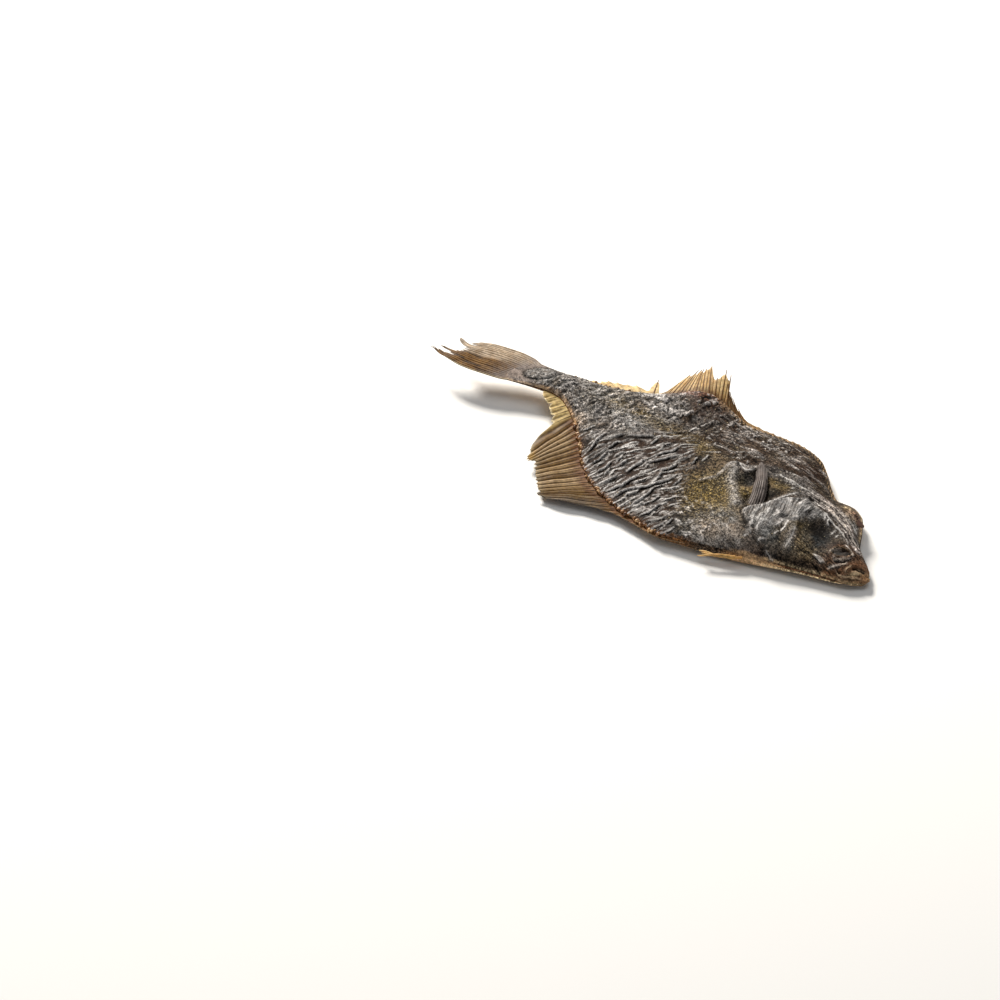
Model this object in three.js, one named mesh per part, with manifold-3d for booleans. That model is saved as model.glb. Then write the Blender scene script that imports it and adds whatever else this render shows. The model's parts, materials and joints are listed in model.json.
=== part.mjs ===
// A dried flounder: a whole flatfish, gutted and dried hard, lying on its blind side with both eyes up.
// Millimetres, +Z up. +X points to the snout and +Y to the back fin. The origin is on the ground, under the
// middle of the fish. Shapes are worked out at s, the distance behind the snout, and y, off the axis.
import * as THREE from "three";
import { mergeVertices } from "three/addons/utils/BufferGeometryUtils.js";
import Module from "manifold-3d";

const { clamp, degToRad, lerp, smoothstep } = THREE.MathUtils;

// Driving dimensions
const BODY_LENGTH = 166; // snout to the root of the tail fin
const HALF_WIDTH = 38; // axis to the body's edge where it is widest
const BODY_DEPTH = 11.5; // ground to the top of the gill cover
const TAIL_LENGTH = 35; // tail fin behind its root
const TAIL_HALF_WIDTH = 10.6;
const TAIL_SLOPE = 0.45; // sideways turn of the dried tail for each millimetre of its length
const TAIL_RISE = 9.5; // lift of the tail's end
const BACK_CURL = 6.5; // upward curl of the back's edge
const SNOUT_LIFT = 1.6; // underside of the snout above the ground
const RAYS_ALONG = 62; // fin rays in the length of the body
const RAY_THICKNESS = 1.1;
const WEB_THICKNESS = 0.7; // dry skin between two rays
const RAY_RELIEF = 0.25; // crests of the rays above the fin's middle, and the web below it
const FRAY = 0.16; // share by which a ray's torn tip may fall short
const WEB_REACH = 0.86; // share of the rays' length that the web still fills
const TAIL_WEB_REACH = 0.94;
const RIB_HEIGHT = 0.55; // wrinkles of the flank
const GILL_STEP = 1.3; // free edge of the gill cover above the flank behind it
const SNOUT_X = 100.5; // place of the snout and the axis, which centres the fish on the origin
const AXIS_Y = 4.5;

// Steps of the grid: two stations for each fin ray, one on its crest and one on the web behind it
const STATIONS = 2 * RAYS_ALONG;
const STATION = BODY_LENGTH / STATIONS;
const RIB_PITCH = 3 * STATION; // between two wrinkles
const CHORDS = 15; // strips across the body
const FIN_ROWS = 2; // strips along the length of a ray
const TAIL_ROWS = 6;

// A smooth curve through knots [at, value] that never swings past a knot.
function profile(knots) {
  const rise = knots.slice(1).map(([at, value], i) => (value - knots[i][1]) / (at - knots[i][0]));
  const slope = knots.map((_, i) => {
    const [before, after] = [rise[i - 1] ?? rise[i], rise[i] ?? rise[i - 1]];
    return before * after > 0 ? (2 * before * after) / (before + after) : 0;
  });
  return (at) => {
    const last = knots.length - 1;
    if (at <= knots[0][0]) return knots[0][1];
    if (at >= knots[last][0]) return knots[last][1];
    const i = knots.findIndex(([next]) => next > at) - 1;
    const span = knots[i + 1][0] - knots[i][0];
    const t = (at - knots[i][0]) / span;
    const start = (1 + 2 * t) * (1 - t) ** 2 * knots[i][1] + t * (1 - t) ** 2 * span * slope[i];
    return start + t * t * (3 - 2 * t) * knots[i + 1][1] - t * t * (1 - t) * span * slope[i + 1];
  };
}

// A profile whose knots are shares of the body's length, and whose values are shares of a size.
function alongBody(size, knots) {
  const share = profile(knots);
  return (s) => size * share(s / BODY_LENGTH);
}

const backEdge = alongBody(HALF_WIDTH, [
  [0, 0], [0.008, 0.045], [0.02, 0.085], [0.045, 0.165], [0.072, 0.25], [0.108, 0.46], [0.139, 0.6],
  [0.169, 0.64], [0.205, 0.6], [0.241, 0.68], [0.283, 0.82], [0.337, 0.96], [0.386, 1], [0.482, 0.925],
  [0.53, 0.865], [0.602, 0.85], [0.675, 0.785], [0.723, 0.67], [0.765, 0.52], [0.819, 0.335], [0.88, 0.2],
  [0.94, 0.165], [1, 0.2],
]);
const bellyEdge = alongBody(HALF_WIDTH, [
  [0, 0.1], [0.008, 0.155], [0.02, 0.2], [0.048, 0.255], [0.163, 0.505], [0.223, 0.63], [0.277, 0.78],
  [0.343, 0.91], [0.41, 0.985], [0.482, 0.98], [0.596, 0.915], [0.669, 0.776], [0.738, 0.547], [0.813, 0.334],
  [0.898, 0.18], [1, 0.22],
]);
const crown = alongBody(BODY_DEPTH, [
  [0, 0.3], [0.02, 0.48], [0.045, 0.6], [0.1, 0.74], [0.16, 0.86], [0.24, 0.97], [0.31, 1], [0.38, 0.88],
  [0.5, 0.78], [0.65, 0.68], [0.8, 0.58], [0.9, 0.48], [0.96, 0.4], [1, 0.32],
]);

// A bell of height 1 round a middle, and a plateau of height 1 with soft ends.
const bell = (at, middle, reach) => Math.exp(-(((at - middle) / reach) ** 2));
const plateau = (at, from, full, fading, to) => smoothstep(at, from, full) * (1 - smoothstep(at, fading, to));

// Repeatable draws from 0 to 1.
function draw(index) {
  const wide = Math.sin(index * 127.1 + 3.7) * 43758.5453;
  return wide - Math.floor(wide);
}

// Sideways turn of the tail: it sets in at the narrow root and runs on straight.
const turnStart = 0.81 * BODY_LENGTH;
const turnEnd = 0.95 * BODY_LENGTH;
function turn(s) {
  const bent = clamp(s, turnStart, turnEnd) - turnStart;
  const straight = Math.max(s - turnEnd, 0);
  return TAIL_SLOPE * (bent ** 2 / (2 * (turnEnd - turnStart)) + straight);
}

// Lift of the dried fish off the ground: its tail has risen, and the back's edge has curled up.
const riseStart = 0.65 * BODY_LENGTH;
const riseEnd = BODY_LENGTH + 0.7 * TAIL_LENGTH;
const curlMiddle = 0.655 * BODY_LENGTH;
const curlReach = 14;
const curlStart = 0.32 * HALF_WIDTH;
const curlRun = 0.5 * HALF_WIDTH;
function lie(s, y) {
  const curled = Math.max(0, (y - curlStart) / curlRun) ** 1.3;
  return TAIL_RISE * smoothstep(s, riseStart, riseEnd) + BACK_CURL * bell(s, curlMiddle, curlReach) * curled;
}

// Free rear edge of the gill cover, as s at each y.
const gillEdge = profile([
  [-24, 26], [-18, 41.5], [-13.6, 47], [-8.8, 51.6], [-5, 52.6], [0, 48.3], [5, 44.7], [11.4, 38],
]);
const COVER_SLOPE = 16; // distance in which the raised cover runs out into the cheek

// Humps and hollows of the head and belly, and ridges along a path of [s, y] points.
const humps = [
  { s: 13, y: -0.5, long: 5, wide: 3.4, height: 1.2 }, // lower eye
  { s: 22, y: 18.5, long: 6, wide: 4.5, height: 2.2 }, // upper eye
  { s: 26, y: 3.5, long: 6.5, wide: 3.6, height: -1.8 }, // cheek
  { s: 60, y: 2.5, long: 4.5, wide: 7, height: -2 }, // armpit of the side fin
  { s: 70, y: -14, long: 13, wide: 11, height: -1.3 }, // emptied belly
  { s: 100, y: 14, long: 14, wide: 8, height: -0.8 }, // back, below the curl
];
const ridges = [
  { path: [[38.6, 12.4], [26.8, 10.3], [15.5, 5.5], [6.1, 1.1]], wide: 2.6, height: 1.5 }, // between the eyes
  { path: [[160, 0], [120, -1], [90, 1], [66, 4]], wide: 4, height: 0.9 }, // spine
  { path: [[69.6, 4.8], [60.5, -3.3], [57.5, -10.1]], wide: 2, height: 1.2 }, // first rib
  { path: [[36, 3.4], [38, -4], [37, -11.2], [32, -17]], wide: 1.8, height: 0.8 }, // fold of the gill cover
  { path: [[8.3, -3.6], [5, -1.1], [0.7, 0.1]], wide: 1.4, height: -1 }, // mouth
];

function distanceTo(path, s, y) {
  const at = new THREE.Vector3(s, y, 0);
  const nearest = new THREE.Vector3();
  const steps = path.slice(1).map((end, i) => {
    const step = new THREE.Line3(new THREE.Vector3(...path[i], 0), new THREE.Vector3(...end, 0));
    return step.closestPointToPoint(at, true, nearest).distanceTo(at);
  });
  return Math.min(...steps);
}

// Relief of the eyed side.
function relief(s, y) {
  let height = 0;
  for (const hump of humps) height += hump.height * bell(s, hump.s, hump.long) * bell(y, hump.y, hump.wide);
  for (const ridge of ridges) height += ridge.height * bell(distanceTo(ridge.path, s, y), 0, ridge.wide);
  const ahead = gillEdge(y) - s;
  const step = smoothstep(ahead, -1, 1);
  const cover = plateau(y, -24, -18, 8, 12) * step * Math.exp(-Math.max(ahead, 0) / COVER_SLOPE);
  const wrinkled = plateau(s, 60, 76, 120, 136) * plateau(y, -42, -34, -4, 8);
  return height + GILL_STEP * cover + RIB_HEIGHT * wrinkled * Math.cos((2 * Math.PI * s) / RIB_PITCH);
}

// Cross-section of the body: v runs from -1 at the belly's edge to 1 at the back's.
const middleOf = (s) => (backEdge(s) - bellyEdge(s)) / 2;
const halfOf = (s) => (backEdge(s) + bellyEdge(s)) / 2;
const RIM_TOP = 0.47; // shares of the crown's height
const RIM_MIDDLE = 0.36;
const RIM_UNDER = 0.25;
const BELLY_WALL = 0.17; // how much deeper the thick wall of the belly reaches
const SECTION_POWER = 2.6; // fullness of the section
const SHOULDER_POWER = 0.8;
const RELIEF_FADE = 9; // relief dies out in the last ninth before an edge
const FLAT_SHARE = 0.45; // part of the half width that lies flat on the ground
const SNOUT_RUN = 9; // length of the raised snout

function topAt(s, v) {
  const dome = (1 - Math.abs(v) ** SECTION_POWER) ** SHOULDER_POWER;
  const y = middleOf(s) + v * halfOf(s);
  const fade = Math.min(1, RELIEF_FADE * (1 - Math.abs(v)));
  return crown(s) * lerp(RIM_TOP, 1, dome) + fade * relief(s, y) + lie(s, y);
}

function underAt(s, v) {
  const wall = v < 0 ? BELLY_WALL * bell(s, 40, 14) : 0;
  const rim = crown(s) * (RIM_UNDER - wall) * smoothstep(Math.abs(v), FLAT_SHARE, 1);
  const snout = SNOUT_LIFT * (1 - smoothstep(s, 0, SNOUT_RUN));
  return rim + snout + lie(s, middleOf(s) + v * halfOf(s));
}

// Height of the eyed side at a point of the plan, and of the middle of the fins.
const skinAt = (s, y) => topAt(s, (y - middleOf(s)) / halfOf(s));
const finLevel = (s, y) => RIM_MIDDLE * crown(s) + lie(s, y);

// A point of the part from s, y and a height.
const place = (s, y, z) => [SNOUT_X - s, AXIS_Y + y - turn(s), z];

// A closed solid between two faces that share one grid of points, with a wall round its edge.
function slab(rows, columns, upper, under) {
  const points = [];
  for (const face of [upper, under]) {
    for (let i = 0; i <= rows; i++) {
      for (let j = 0; j <= columns; j++) points.push(...face(i, j));
    }
  }
  const at = (i, j) => i * (columns + 1) + j;
  const below = (rows + 1) * (columns + 1);
  const triangles = [];
  for (let i = 0; i < rows; i++) {
    for (let j = 0; j < columns; j++) {
      const [a, b, c, d] = [at(i, j), at(i + 1, j), at(i + 1, j + 1), at(i, j + 1)];
      triangles.push([a, d, c], [a, c, b]);
      triangles.push([a + below, c + below, d + below], [a + below, b + below, c + below]);
    }
  }
  const rim = [];
  for (let j = 0; j < columns; j++) rim.push(at(0, j));
  for (let i = 0; i < rows; i++) rim.push(at(i, columns));
  for (let j = columns; j > 0; j--) rim.push(at(rows, j));
  for (let i = rows; i > 0; i--) rim.push(at(i, 0));
  rim.forEach((p, k) => {
    const q = rim[(k + 1) % rim.length];
    triangles.push([q, p, p + below], [q, p + below, q + below]);
  });
  const geometry = new THREE.BufferGeometry();
  geometry.setAttribute("position", new THREE.Float32BufferAttribute(points, 3));
  geometry.setIndex(triangles.flat());
  return geometry;
}

// Half thickness of a fin and the height of its middle, on a ray's crest or on the web, at r along the ray.
const TIP_TAPER = 0.4; // share of its thickness that a ray loses by its tip
const CREST_RUN = 0.33; // share of a ray in which its crest stands up
function finSection(onWeb, r) {
  const thickness = (onWeb ? WEB_THICKNESS : RAY_THICKNESS) * (1 - TIP_TAPER * r);
  const crest = (onWeb ? -RAY_RELIEF : RAY_RELIEF) * Math.min(1, r / CREST_RUN);
  return { half: thickness / 2, crest };
}

// The fins along the back and the belly: side is 1 or -1, reach a ray's length, lean its slant to the tail.
const backFin = {
  side: 1,
  edge: backEdge,
  reach: profile([
    [30, 0.6], [34, 1.2], [60, 1.8], [80, 2.4], [86, 4], [89, 9], [94, 10], [99, 11], [108, 15], [113, 12],
    [122, 12], [126, 6], [129, 2.5], [131, 8], [134, 3.5], [146, 2.5], [153, 0.6],
  ]),
  lean: profile([
    [30, 30], [80, 45], [88, 70], [93, 62], [98, 52], [110, 32], [120, 14], [127, 8], [152, 30],
  ]),
};
const bellyFin = {
  side: -1,
  edge: bellyEdge,
  reach: profile([
    [54, 0.6], [58, 1.2], [72, 2], [82, 4], [86, 10], [90, 27], [100, 21], [111, 19], [122, 20], [129, 26],
    [134.5, 23], [137, 9.5], [142, 7], [148, 5], [153, 0.6],
  ]),
  lean: profile([
    [56, 30], [82, 50], [90, 54], [100, 40], [111, 27], [122, 12], [134, -4], [138, 10], [152, 20],
  ]),
};

// A point of a fin at station i and r along its ray, on the upper (1) or under (-1) face.
function finPoint({ side, edge, reach, lean }, i, r, face) {
  const root = i * STATION;
  const onWeb = i % 2 === 1;
  const fray = onWeb ? WEB_REACH : 1 - FRAY * draw(i + STATIONS * side);
  const long = r * reach(root) * fray;
  const back = degToRad(lean(root));
  const s = root + long * Math.sin(back);
  const y = side * (edge(root) + long * Math.cos(back));
  const { half, crest } = finSection(onWeb, r);
  return place(s, y, finLevel(s, y) + crest + face * half);
}

// The tail fin: rays that spread from the root, then close up to a torn end; t runs across it from -1 to 1.
const tailSpread = profile([[0, 0.78], [0.2, 0.92], [0.41, 1], [0.55, 0.9], [0.7, 0.66], [1, 0.48]]);
const tailReach = profile([
  [-1, 1], [-0.7, 0.9], [-0.4, 0.97], [-0.1, 0.84], [0.25, 0.93], [0.5, 0.8], [1, 0.72],
]);
function tailPoint(row, column, columns, face) {
  const t = (2 * column) / columns - 1;
  const onWeb = column % 2 === 1;
  const r = (row / TAIL_ROWS) * (onWeb ? TAIL_WEB_REACH : 1);
  const along = r * tailReach(t);
  const s = BODY_LENGTH + along * TAIL_LENGTH;
  const y = t * TAIL_HALF_WIDTH * tailSpread(along);
  const { half, crest } = finSection(onWeb, r);
  return place(s, y, finLevel(s, y) + crest + face * half);
}

// Body, edge fins and tail fin on one grid: stations from the snout to the tail's end, and columns from the
// tips of the belly fin to the tips of the back fin.
function fish() {
  const columns = CHORDS + 2 * FIN_ROWS;
  const at = (i, j, face) => {
    if (i > STATIONS) return tailPoint(i - STATIONS, j, columns, face);
    if (j < FIN_ROWS) return finPoint(bellyFin, i, 1 - j / FIN_ROWS, face);
    if (j > columns - FIN_ROWS) return finPoint(backFin, i, 1 - (columns - j) / FIN_ROWS, face);
    const s = i * STATION;
    const v = (2 * (j - FIN_ROWS)) / CHORDS - 1;
    return place(s, middleOf(s) + v * halfOf(s), face > 0 ? topAt(s, v) : underAt(s, v));
  };
  return slab(STATIONS + TAIL_ROWS, columns, (i, j) => at(i, j, 1), (i, j) => at(i, j, -1));
}

// A strap of dry rays beside each other, each from a root to a tip in the plan.
function strap(rays, rows, level) {
  const columns = 2 * (rays.length - 1);
  const at = (i, j, face) => {
    const r = i / rows;
    const [one, next] = [rays[Math.floor(j / 2)], rays[Math.ceil(j / 2)]];
    const s = lerp(one.root.x + next.root.x, one.tip.x + next.tip.x, r) / 2;
    const y = lerp(one.root.y + next.root.y, one.tip.y + next.tip.y, r) / 2;
    const { half, crest } = finSection(j % 2 === 1, r);
    return place(s, y, level(s, y, r) + crest + face * half);
  };
  return slab(rows, columns, (i, j) => at(i, j, 1), (i, j) => at(i, j, -1));
}

// The side fin: it rises from the corner of the gill cover and lies across the flank.
function sideFin() {
  const RAYS = 5;
  const ROOT_HALF_WIDTH = 1.7;
  const TIP_HALF_WIDTH = 2.4;
  const TIP_ROUND = 1.5; // how far the outer rays fall short of the middle one
  const SUNK = 0.9; // root below the skin, and tip above it
  const RISEN = 1.7;
  const root = new THREE.Vector2(51, -6.5);
  const tip = new THREE.Vector2(60.5, 9.5);
  const along = tip.clone().sub(root).normalize();
  const aside = new THREE.Vector2(along.y, -along.x);
  const rays = [];
  for (let k = 0; k < RAYS; k++) {
    const t = 1 - (2 * k) / (RAYS - 1);
    const start = root.clone().addScaledVector(aside, ROOT_HALF_WIDTH * t);
    const end = tip.clone().addScaledVector(aside, TIP_HALF_WIDTH * t);
    rays.push({ root: start, tip: end.addScaledVector(along, -TIP_ROUND * t * t) });
  }
  return strap(rays, 4, (s, y, r) => skinAt(s, y) + lerp(-SUNK, RISEN, r));
}

// What is left of the throat fin: a few dry rays under the belly's front edge.
function throatFin() {
  const rays = [
    { root: new THREE.Vector2(43.5, -24.5), tip: new THREE.Vector2(51.5, -32) },
    { root: new THREE.Vector2(42, -24), tip: new THREE.Vector2(50, -33) },
    { root: new THREE.Vector2(41, -23.5), tip: new THREE.Vector2(47.5, -34) },
  ];
  return strap(rays, 3, (s) => RIM_UNDER * crown(s));
}

// A dried eyeball, an ellipsoid sunk into the skin.
const EYE_SUNK = 0.45; // share of its half height
function eye(s, y, long, wide, high, turned) {
  const ball = new THREE.SphereGeometry(1, 16, 10);
  ball.scale(long, wide, high);
  ball.rotateZ(degToRad(turned));
  return ball.translate(...place(s, y, skinAt(s, y) - EYE_SUNK * high));
}

const wasm = await Module();
wasm.setup();

function solidOf(geometry) {
  geometry.deleteAttribute("normal");
  geometry.deleteAttribute("uv");
  const { attributes, index } = mergeVertices(geometry);
  const vertProperties = new Float32Array(attributes.position.array);
  const triVerts = new Uint32Array(index.array);
  return new wasm.Manifold(new wasm.Mesh({ numProp: 3, vertProperties, triVerts }));
}

const lowerEye = eye(12.8, -0.4, 3.4, 2.1, 1.6, 12);
const upperEye = eye(22.5, 17.4, 3.6, 2.7, 2, -35);
const grown = [sideFin(), throatFin(), lowerEye, upperEye];
const whole = grown.reduce((joined, piece) => joined.add(solidOf(piece)), solidOf(fish()));
const { vertProperties, triVerts } = whole.getMesh();

const skin = new THREE.BufferGeometry();
skin.setAttribute("position", new THREE.Float32BufferAttribute(vertProperties, 3));
skin.setIndex(new THREE.Uint32BufferAttribute(triVerts, 1));
skin.computeVertexNormals();

const flounder = new THREE.Mesh(
  skin,
  new THREE.MeshStandardMaterial({ color: "#6b625a", roughness: 0.62, metalness: 0 }),
);
flounder.name = "dried_flounder";

const part = new THREE.Group();
part.add(flounder);

export default part;
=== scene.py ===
# Dried flounder: a whole flatfish, gutted and dried hard, lying on its blind side with both eyes up.
# Shapes are worked out in millimetres at s, behind the snout, and y, off the axis, and placed in metres.
import json
import math

import bpy
import numpy as np
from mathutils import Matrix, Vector

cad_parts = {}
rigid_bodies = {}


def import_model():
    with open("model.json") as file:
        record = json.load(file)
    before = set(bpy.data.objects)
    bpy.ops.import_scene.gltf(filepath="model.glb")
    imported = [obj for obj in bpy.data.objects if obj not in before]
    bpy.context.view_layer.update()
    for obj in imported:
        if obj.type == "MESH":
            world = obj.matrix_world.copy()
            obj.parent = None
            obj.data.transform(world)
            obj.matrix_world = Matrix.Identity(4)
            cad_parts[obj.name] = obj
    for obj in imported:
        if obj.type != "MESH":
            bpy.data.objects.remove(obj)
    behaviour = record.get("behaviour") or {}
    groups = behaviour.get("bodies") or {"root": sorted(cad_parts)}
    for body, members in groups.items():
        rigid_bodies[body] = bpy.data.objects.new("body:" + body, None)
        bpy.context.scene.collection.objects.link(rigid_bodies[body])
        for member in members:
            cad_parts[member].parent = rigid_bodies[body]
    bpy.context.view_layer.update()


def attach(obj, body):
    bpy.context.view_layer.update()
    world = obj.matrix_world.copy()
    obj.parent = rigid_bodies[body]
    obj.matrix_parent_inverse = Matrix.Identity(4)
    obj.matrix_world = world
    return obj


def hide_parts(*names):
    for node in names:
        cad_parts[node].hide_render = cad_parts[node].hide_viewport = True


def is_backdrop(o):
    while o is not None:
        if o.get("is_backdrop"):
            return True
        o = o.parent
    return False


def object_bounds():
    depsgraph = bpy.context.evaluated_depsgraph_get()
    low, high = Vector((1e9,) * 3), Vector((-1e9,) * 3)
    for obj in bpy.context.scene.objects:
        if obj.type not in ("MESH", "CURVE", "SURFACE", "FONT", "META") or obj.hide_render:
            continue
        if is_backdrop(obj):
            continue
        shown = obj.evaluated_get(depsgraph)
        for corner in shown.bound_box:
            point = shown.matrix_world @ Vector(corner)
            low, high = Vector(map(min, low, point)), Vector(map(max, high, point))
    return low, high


for leftover in list(bpy.data.objects):
    bpy.data.objects.remove(leftover)
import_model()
mm = 0.001
print("frame loaded")

# the sizes that every piece of the fish shares, in millimetres
fish = {
    "bodyLength": 166.0,  # snout to the root of the tail fin
    "halfWidth": 38.0,
    "bodyDepth": 11.5,
    "tailLength": 35.0,
    "tailHalfWidth": 10.6,
    "tailSlope": 0.45,  # sideways turn of the dried tail for each millimetre
    "turnStart": 0.81, "turnEnd": 0.95,  # shares of the body's length
    "tailRise": 9.5,
    "riseStart": 0.65,
    "backCurl": 6.5,  # the back's edge has curled up
    "curlAt": 0.655, "curlReach": 14,
    "finSeat": 0.36,  # share of the crown's height where the fins are rooted
    "snoutLift": 1.6,
    "raysAlong": 62,
    "snoutX": 100.5,
    "axisY": 4.5,
}
bodyLength = fish["bodyLength"]
rayPitch = bodyLength / fish["raysAlong"]


# curves and noise
def smooth(x, low, high):
    t = np.clip((x - low) / (high - low), 0, 1)
    return t * t * (3 - 2 * t)


def bell(x, middle, reach):
    return np.exp(-(((x - middle) / reach) ** 2))


def plateau(x, start, full, fading, end):
    return smooth(x, start, full) * (1 - smooth(x, fading, end))


def profile(knots):  # a smooth curve through [at, value] that never swings past a knot
    at, value = np.array(knots, float).T
    rise = np.diff(value) / np.diff(at)
    before, after = np.r_[rise[0], rise], np.r_[rise, rise[-1]]
    same = before * after > 0
    slope = np.where(same, 2 * before * after / np.where(same, before + after, 1), 0)

    def curve(x):
        x = np.clip(x, at[0], at[-1])
        i = np.clip(np.searchsorted(at, x, side="right") - 1, 0, len(rise) - 1)
        span = at[i + 1] - at[i]
        t = (x - at[i]) / span
        start = (1 + 2 * t) * (1 - t) ** 2 * value[i] + t * (1 - t) ** 2 * span * slope[i]
        return start + t * t * (3 - 2 * t) * value[i + 1] - t * t * (1 - t) * span * slope[i + 1]

    return curve


def draws(column, row, seed):  # repeatable draws from 0 to 1 for whole numbers
    mixed = np.asarray(column).astype(np.int64) * 374761393 + np.asarray(row).astype(np.int64) * 668265263
    mixed = (mixed + seed * 974634757) & 0xFFFFFFFF
    mixed = ((mixed ^ (mixed >> 13)) * 1274126177) & 0xFFFFFFFF
    return (mixed ^ (mixed >> 16)) / 4294967295.0


def noise(x, y, seed):  # gradient noise, about -1 to 1
    column, row = np.floor(x), np.floor(y)
    fx, fy = x - column, y - row
    wx, wy = fx**3 * (fx * (6 * fx - 15) + 10), fy**3 * (fy * (6 * fy - 15) + 10)
    total = 0
    for i in (0, 1):
        for j in (0, 1):
            angle = 2 * np.pi * draws(column + i, row + j, seed)
            slope = np.cos(angle) * (fx - i) + np.sin(angle) * (fy - j)
            total = total + slope * (wx if i else 1 - wx) * (wy if j else 1 - wy)
    return 1.5 * total


def rough(x, y, seed, octaves=4):  # noise on noise, each finer and weaker
    return sum(noise(x * 2**k, y * 2**k, seed + k) / 2**k for k in range(octaves))


def crests(x, y, seed, sharp):  # thin crests along the zero lines of noise
    return np.exp(-((np.abs(noise(x, y, seed)) / sharp) ** 1.3))


def folding(s, y, pitch, lean, seed):  # phase of folds across the body, which fork and run out where noise turns
    turning = np.arctan2(noise(s / 11, y / 17, seed), noise(s / 11 + 0.5, y / 17 + 0.4, seed + 1)) / (2 * np.pi)
    return ((s - lean * y) / pitch + turning) % 1


def foldRise(phase, steep):  # a fold's section: a long rise to its crest, then a steep fall on the head's side
    rise = ((1 - phase) / (1 - steep)).clip(0, 1) ** 1.5
    return np.where(phase < steep, smooth(phase, 0, steep), rise)


def patch(s, y, s0, y0, long, wide):
    return bell(s, s0, long) * bell(y, y0, wide)


def cells(x, y, wide, long, seed):  # cracked cells: millimetres to the nearest edge, and each cell's own draw
    px, py = x / wide, y / long
    column, row = np.floor(px), np.floor(py)
    near = np.full(px.shape, 9.0)
    homeX, homeY, own = np.zeros(px.shape), np.zeros(px.shape), np.zeros(px.shape)
    spots = []
    for i in range(-2, 3):
        for j in range(-2, 3):
            cx = column + i + 0.1 + 0.8 * draws(column + i, row + j, seed)
            cy = row + j + 0.1 + 0.8 * draws(column + i, row + j, seed + 1)
            spots.append((cx, cy))
            gap = np.hypot(px - cx, py - cy)
            closer = gap < near
            near = np.where(closer, gap, near)
            homeX, homeY = np.where(closer, cx, homeX), np.where(closer, cy, homeY)
            own = np.where(closer, draws(column + i, row + j, seed + 2), own)
    edge = np.full(px.shape, 99.0)
    for cx, cy in spots:
        ax, ay = cx - homeX, cy - homeY
        apart = np.hypot(ax, ay)
        other = apart > 1e-6
        apart = np.where(other, apart, 1)
        gap = ((homeX + cx) / 2 - px) * ax / apart + ((homeY + cy) / 2 - py) * ay / apart
        gap = gap / np.hypot(ax / apart / wide, ay / apart / long).clip(1e-6)
        edge = np.where(other, np.minimum(edge, gap), edge)
    return np.maximum(edge, 0), own


def beside(path, s, y):  # distance to a path, its side, and the share of its length
    best, side, share = np.full(np.shape(s), 1e9), np.zeros(np.shape(s)), np.zeros(np.shape(s))
    for k, ((s0, y0), (s1, y1)) in enumerate(zip(path, path[1:])):
        ds, dy = s1 - s0, y1 - y0
        t = np.clip(((s - s0) * ds + (y - y0) * dy) / (ds * ds + dy * dy), 0, 1)
        gap = np.hypot(s - s0 - t * ds, y - y0 - t * dy)
        closer = gap < best
        best = np.where(closer, gap, best)
        side = np.where(closer, np.sign(ds * (y - y0) - dy * (s - s0)), side)
        share = np.where(closer, (k + t) / (len(path) - 1), share)
    return best, side, share


def eyeShare(s, y, middle, long, wide, turned):  # 1 on the edge of an almond-shaped eye, 0 in its middle
    a = math.radians(turned)
    ds, dy = s - middle[0], y - middle[1]
    along, aside = ds * math.cos(a) - dy * math.sin(a), ds * math.sin(a) + dy * math.cos(a)
    return np.hypot(along / long, aside / wide) + 0.35 * (along / long) ** 2 * np.abs(aside / wide)


# outline, depth and lie of the body, the same curves as the solid's
backShare = profile([
    [0, 0.03], [0.008, 0.08], [0.02, 0.12], [0.045, 0.18], [0.072, 0.255], [0.108, 0.46], [0.139, 0.6],
    [0.169, 0.64], [0.205, 0.6], [0.241, 0.68], [0.283, 0.82], [0.337, 0.96], [0.386, 1], [0.482, 0.925],
    [0.53, 0.865], [0.602, 0.85], [0.675, 0.785], [0.723, 0.67], [0.765, 0.52], [0.819, 0.335], [0.88, 0.2],
    [0.94, 0.165], [1, 0.2],
])
bellyShare = profile([
    [0, 0.1], [0.008, 0.155], [0.02, 0.2], [0.048, 0.255], [0.163, 0.505], [0.223, 0.63], [0.277, 0.75],
    [0.343, 0.89], [0.41, 0.985], [0.482, 0.98], [0.596, 0.915], [0.669, 0.776], [0.738, 0.547],
    [0.813, 0.334], [0.898, 0.18], [1, 0.22],
])
crownShare = profile([
    [0, 0.3], [0.02, 0.48], [0.045, 0.6], [0.1, 0.74], [0.16, 0.86], [0.24, 0.97], [0.31, 1], [0.38, 0.88],
    [0.5, 0.78], [0.65, 0.68], [0.8, 0.58], [0.9, 0.48], [0.96, 0.4], [1, 0.32],
])
gillEdge = profile([
    [-20, 27], [-18.6, 35], [-17, 40], [-14.6, 45], [-11.6, 49], [-9, 48.4], [-5, 46.2], [0, 44.4], [5, 41.8],
    [8.4, 37.6], [11, 34],
])


def backEdge(s):
    return fish["halfWidth"] * backShare(s / bodyLength)


def bellyEdge(s):
    return fish["halfWidth"] * bellyShare(s / bodyLength)


def crown(s):
    return fish["bodyDepth"] * crownShare(s / bodyLength)


def turn(s):  # sideways turn of the tail
    start, end = fish["turnStart"] * bodyLength, fish["turnEnd"] * bodyLength
    bent = np.clip(s, start, end) - start
    return fish["tailSlope"] * (bent**2 / (2 * (end - start)) + np.maximum(s - end, 0))


def lie(s, y):  # lift off the ground
    risen = smooth(s, fish["riseStart"] * bodyLength, bodyLength + 0.7 * fish["tailLength"])
    curled = np.maximum(0, (y - 0.32 * fish["halfWidth"]) / (0.5 * fish["halfWidth"])) ** 1.3
    curled = curled * bell(s, fish["curlAt"] * bodyLength, fish["curlReach"])
    return fish["tailRise"] * risen + fish["backCurl"] * curled


def finLevel(s, y):
    return fish["finSeat"] * crown(s) + lie(s, y)


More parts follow.
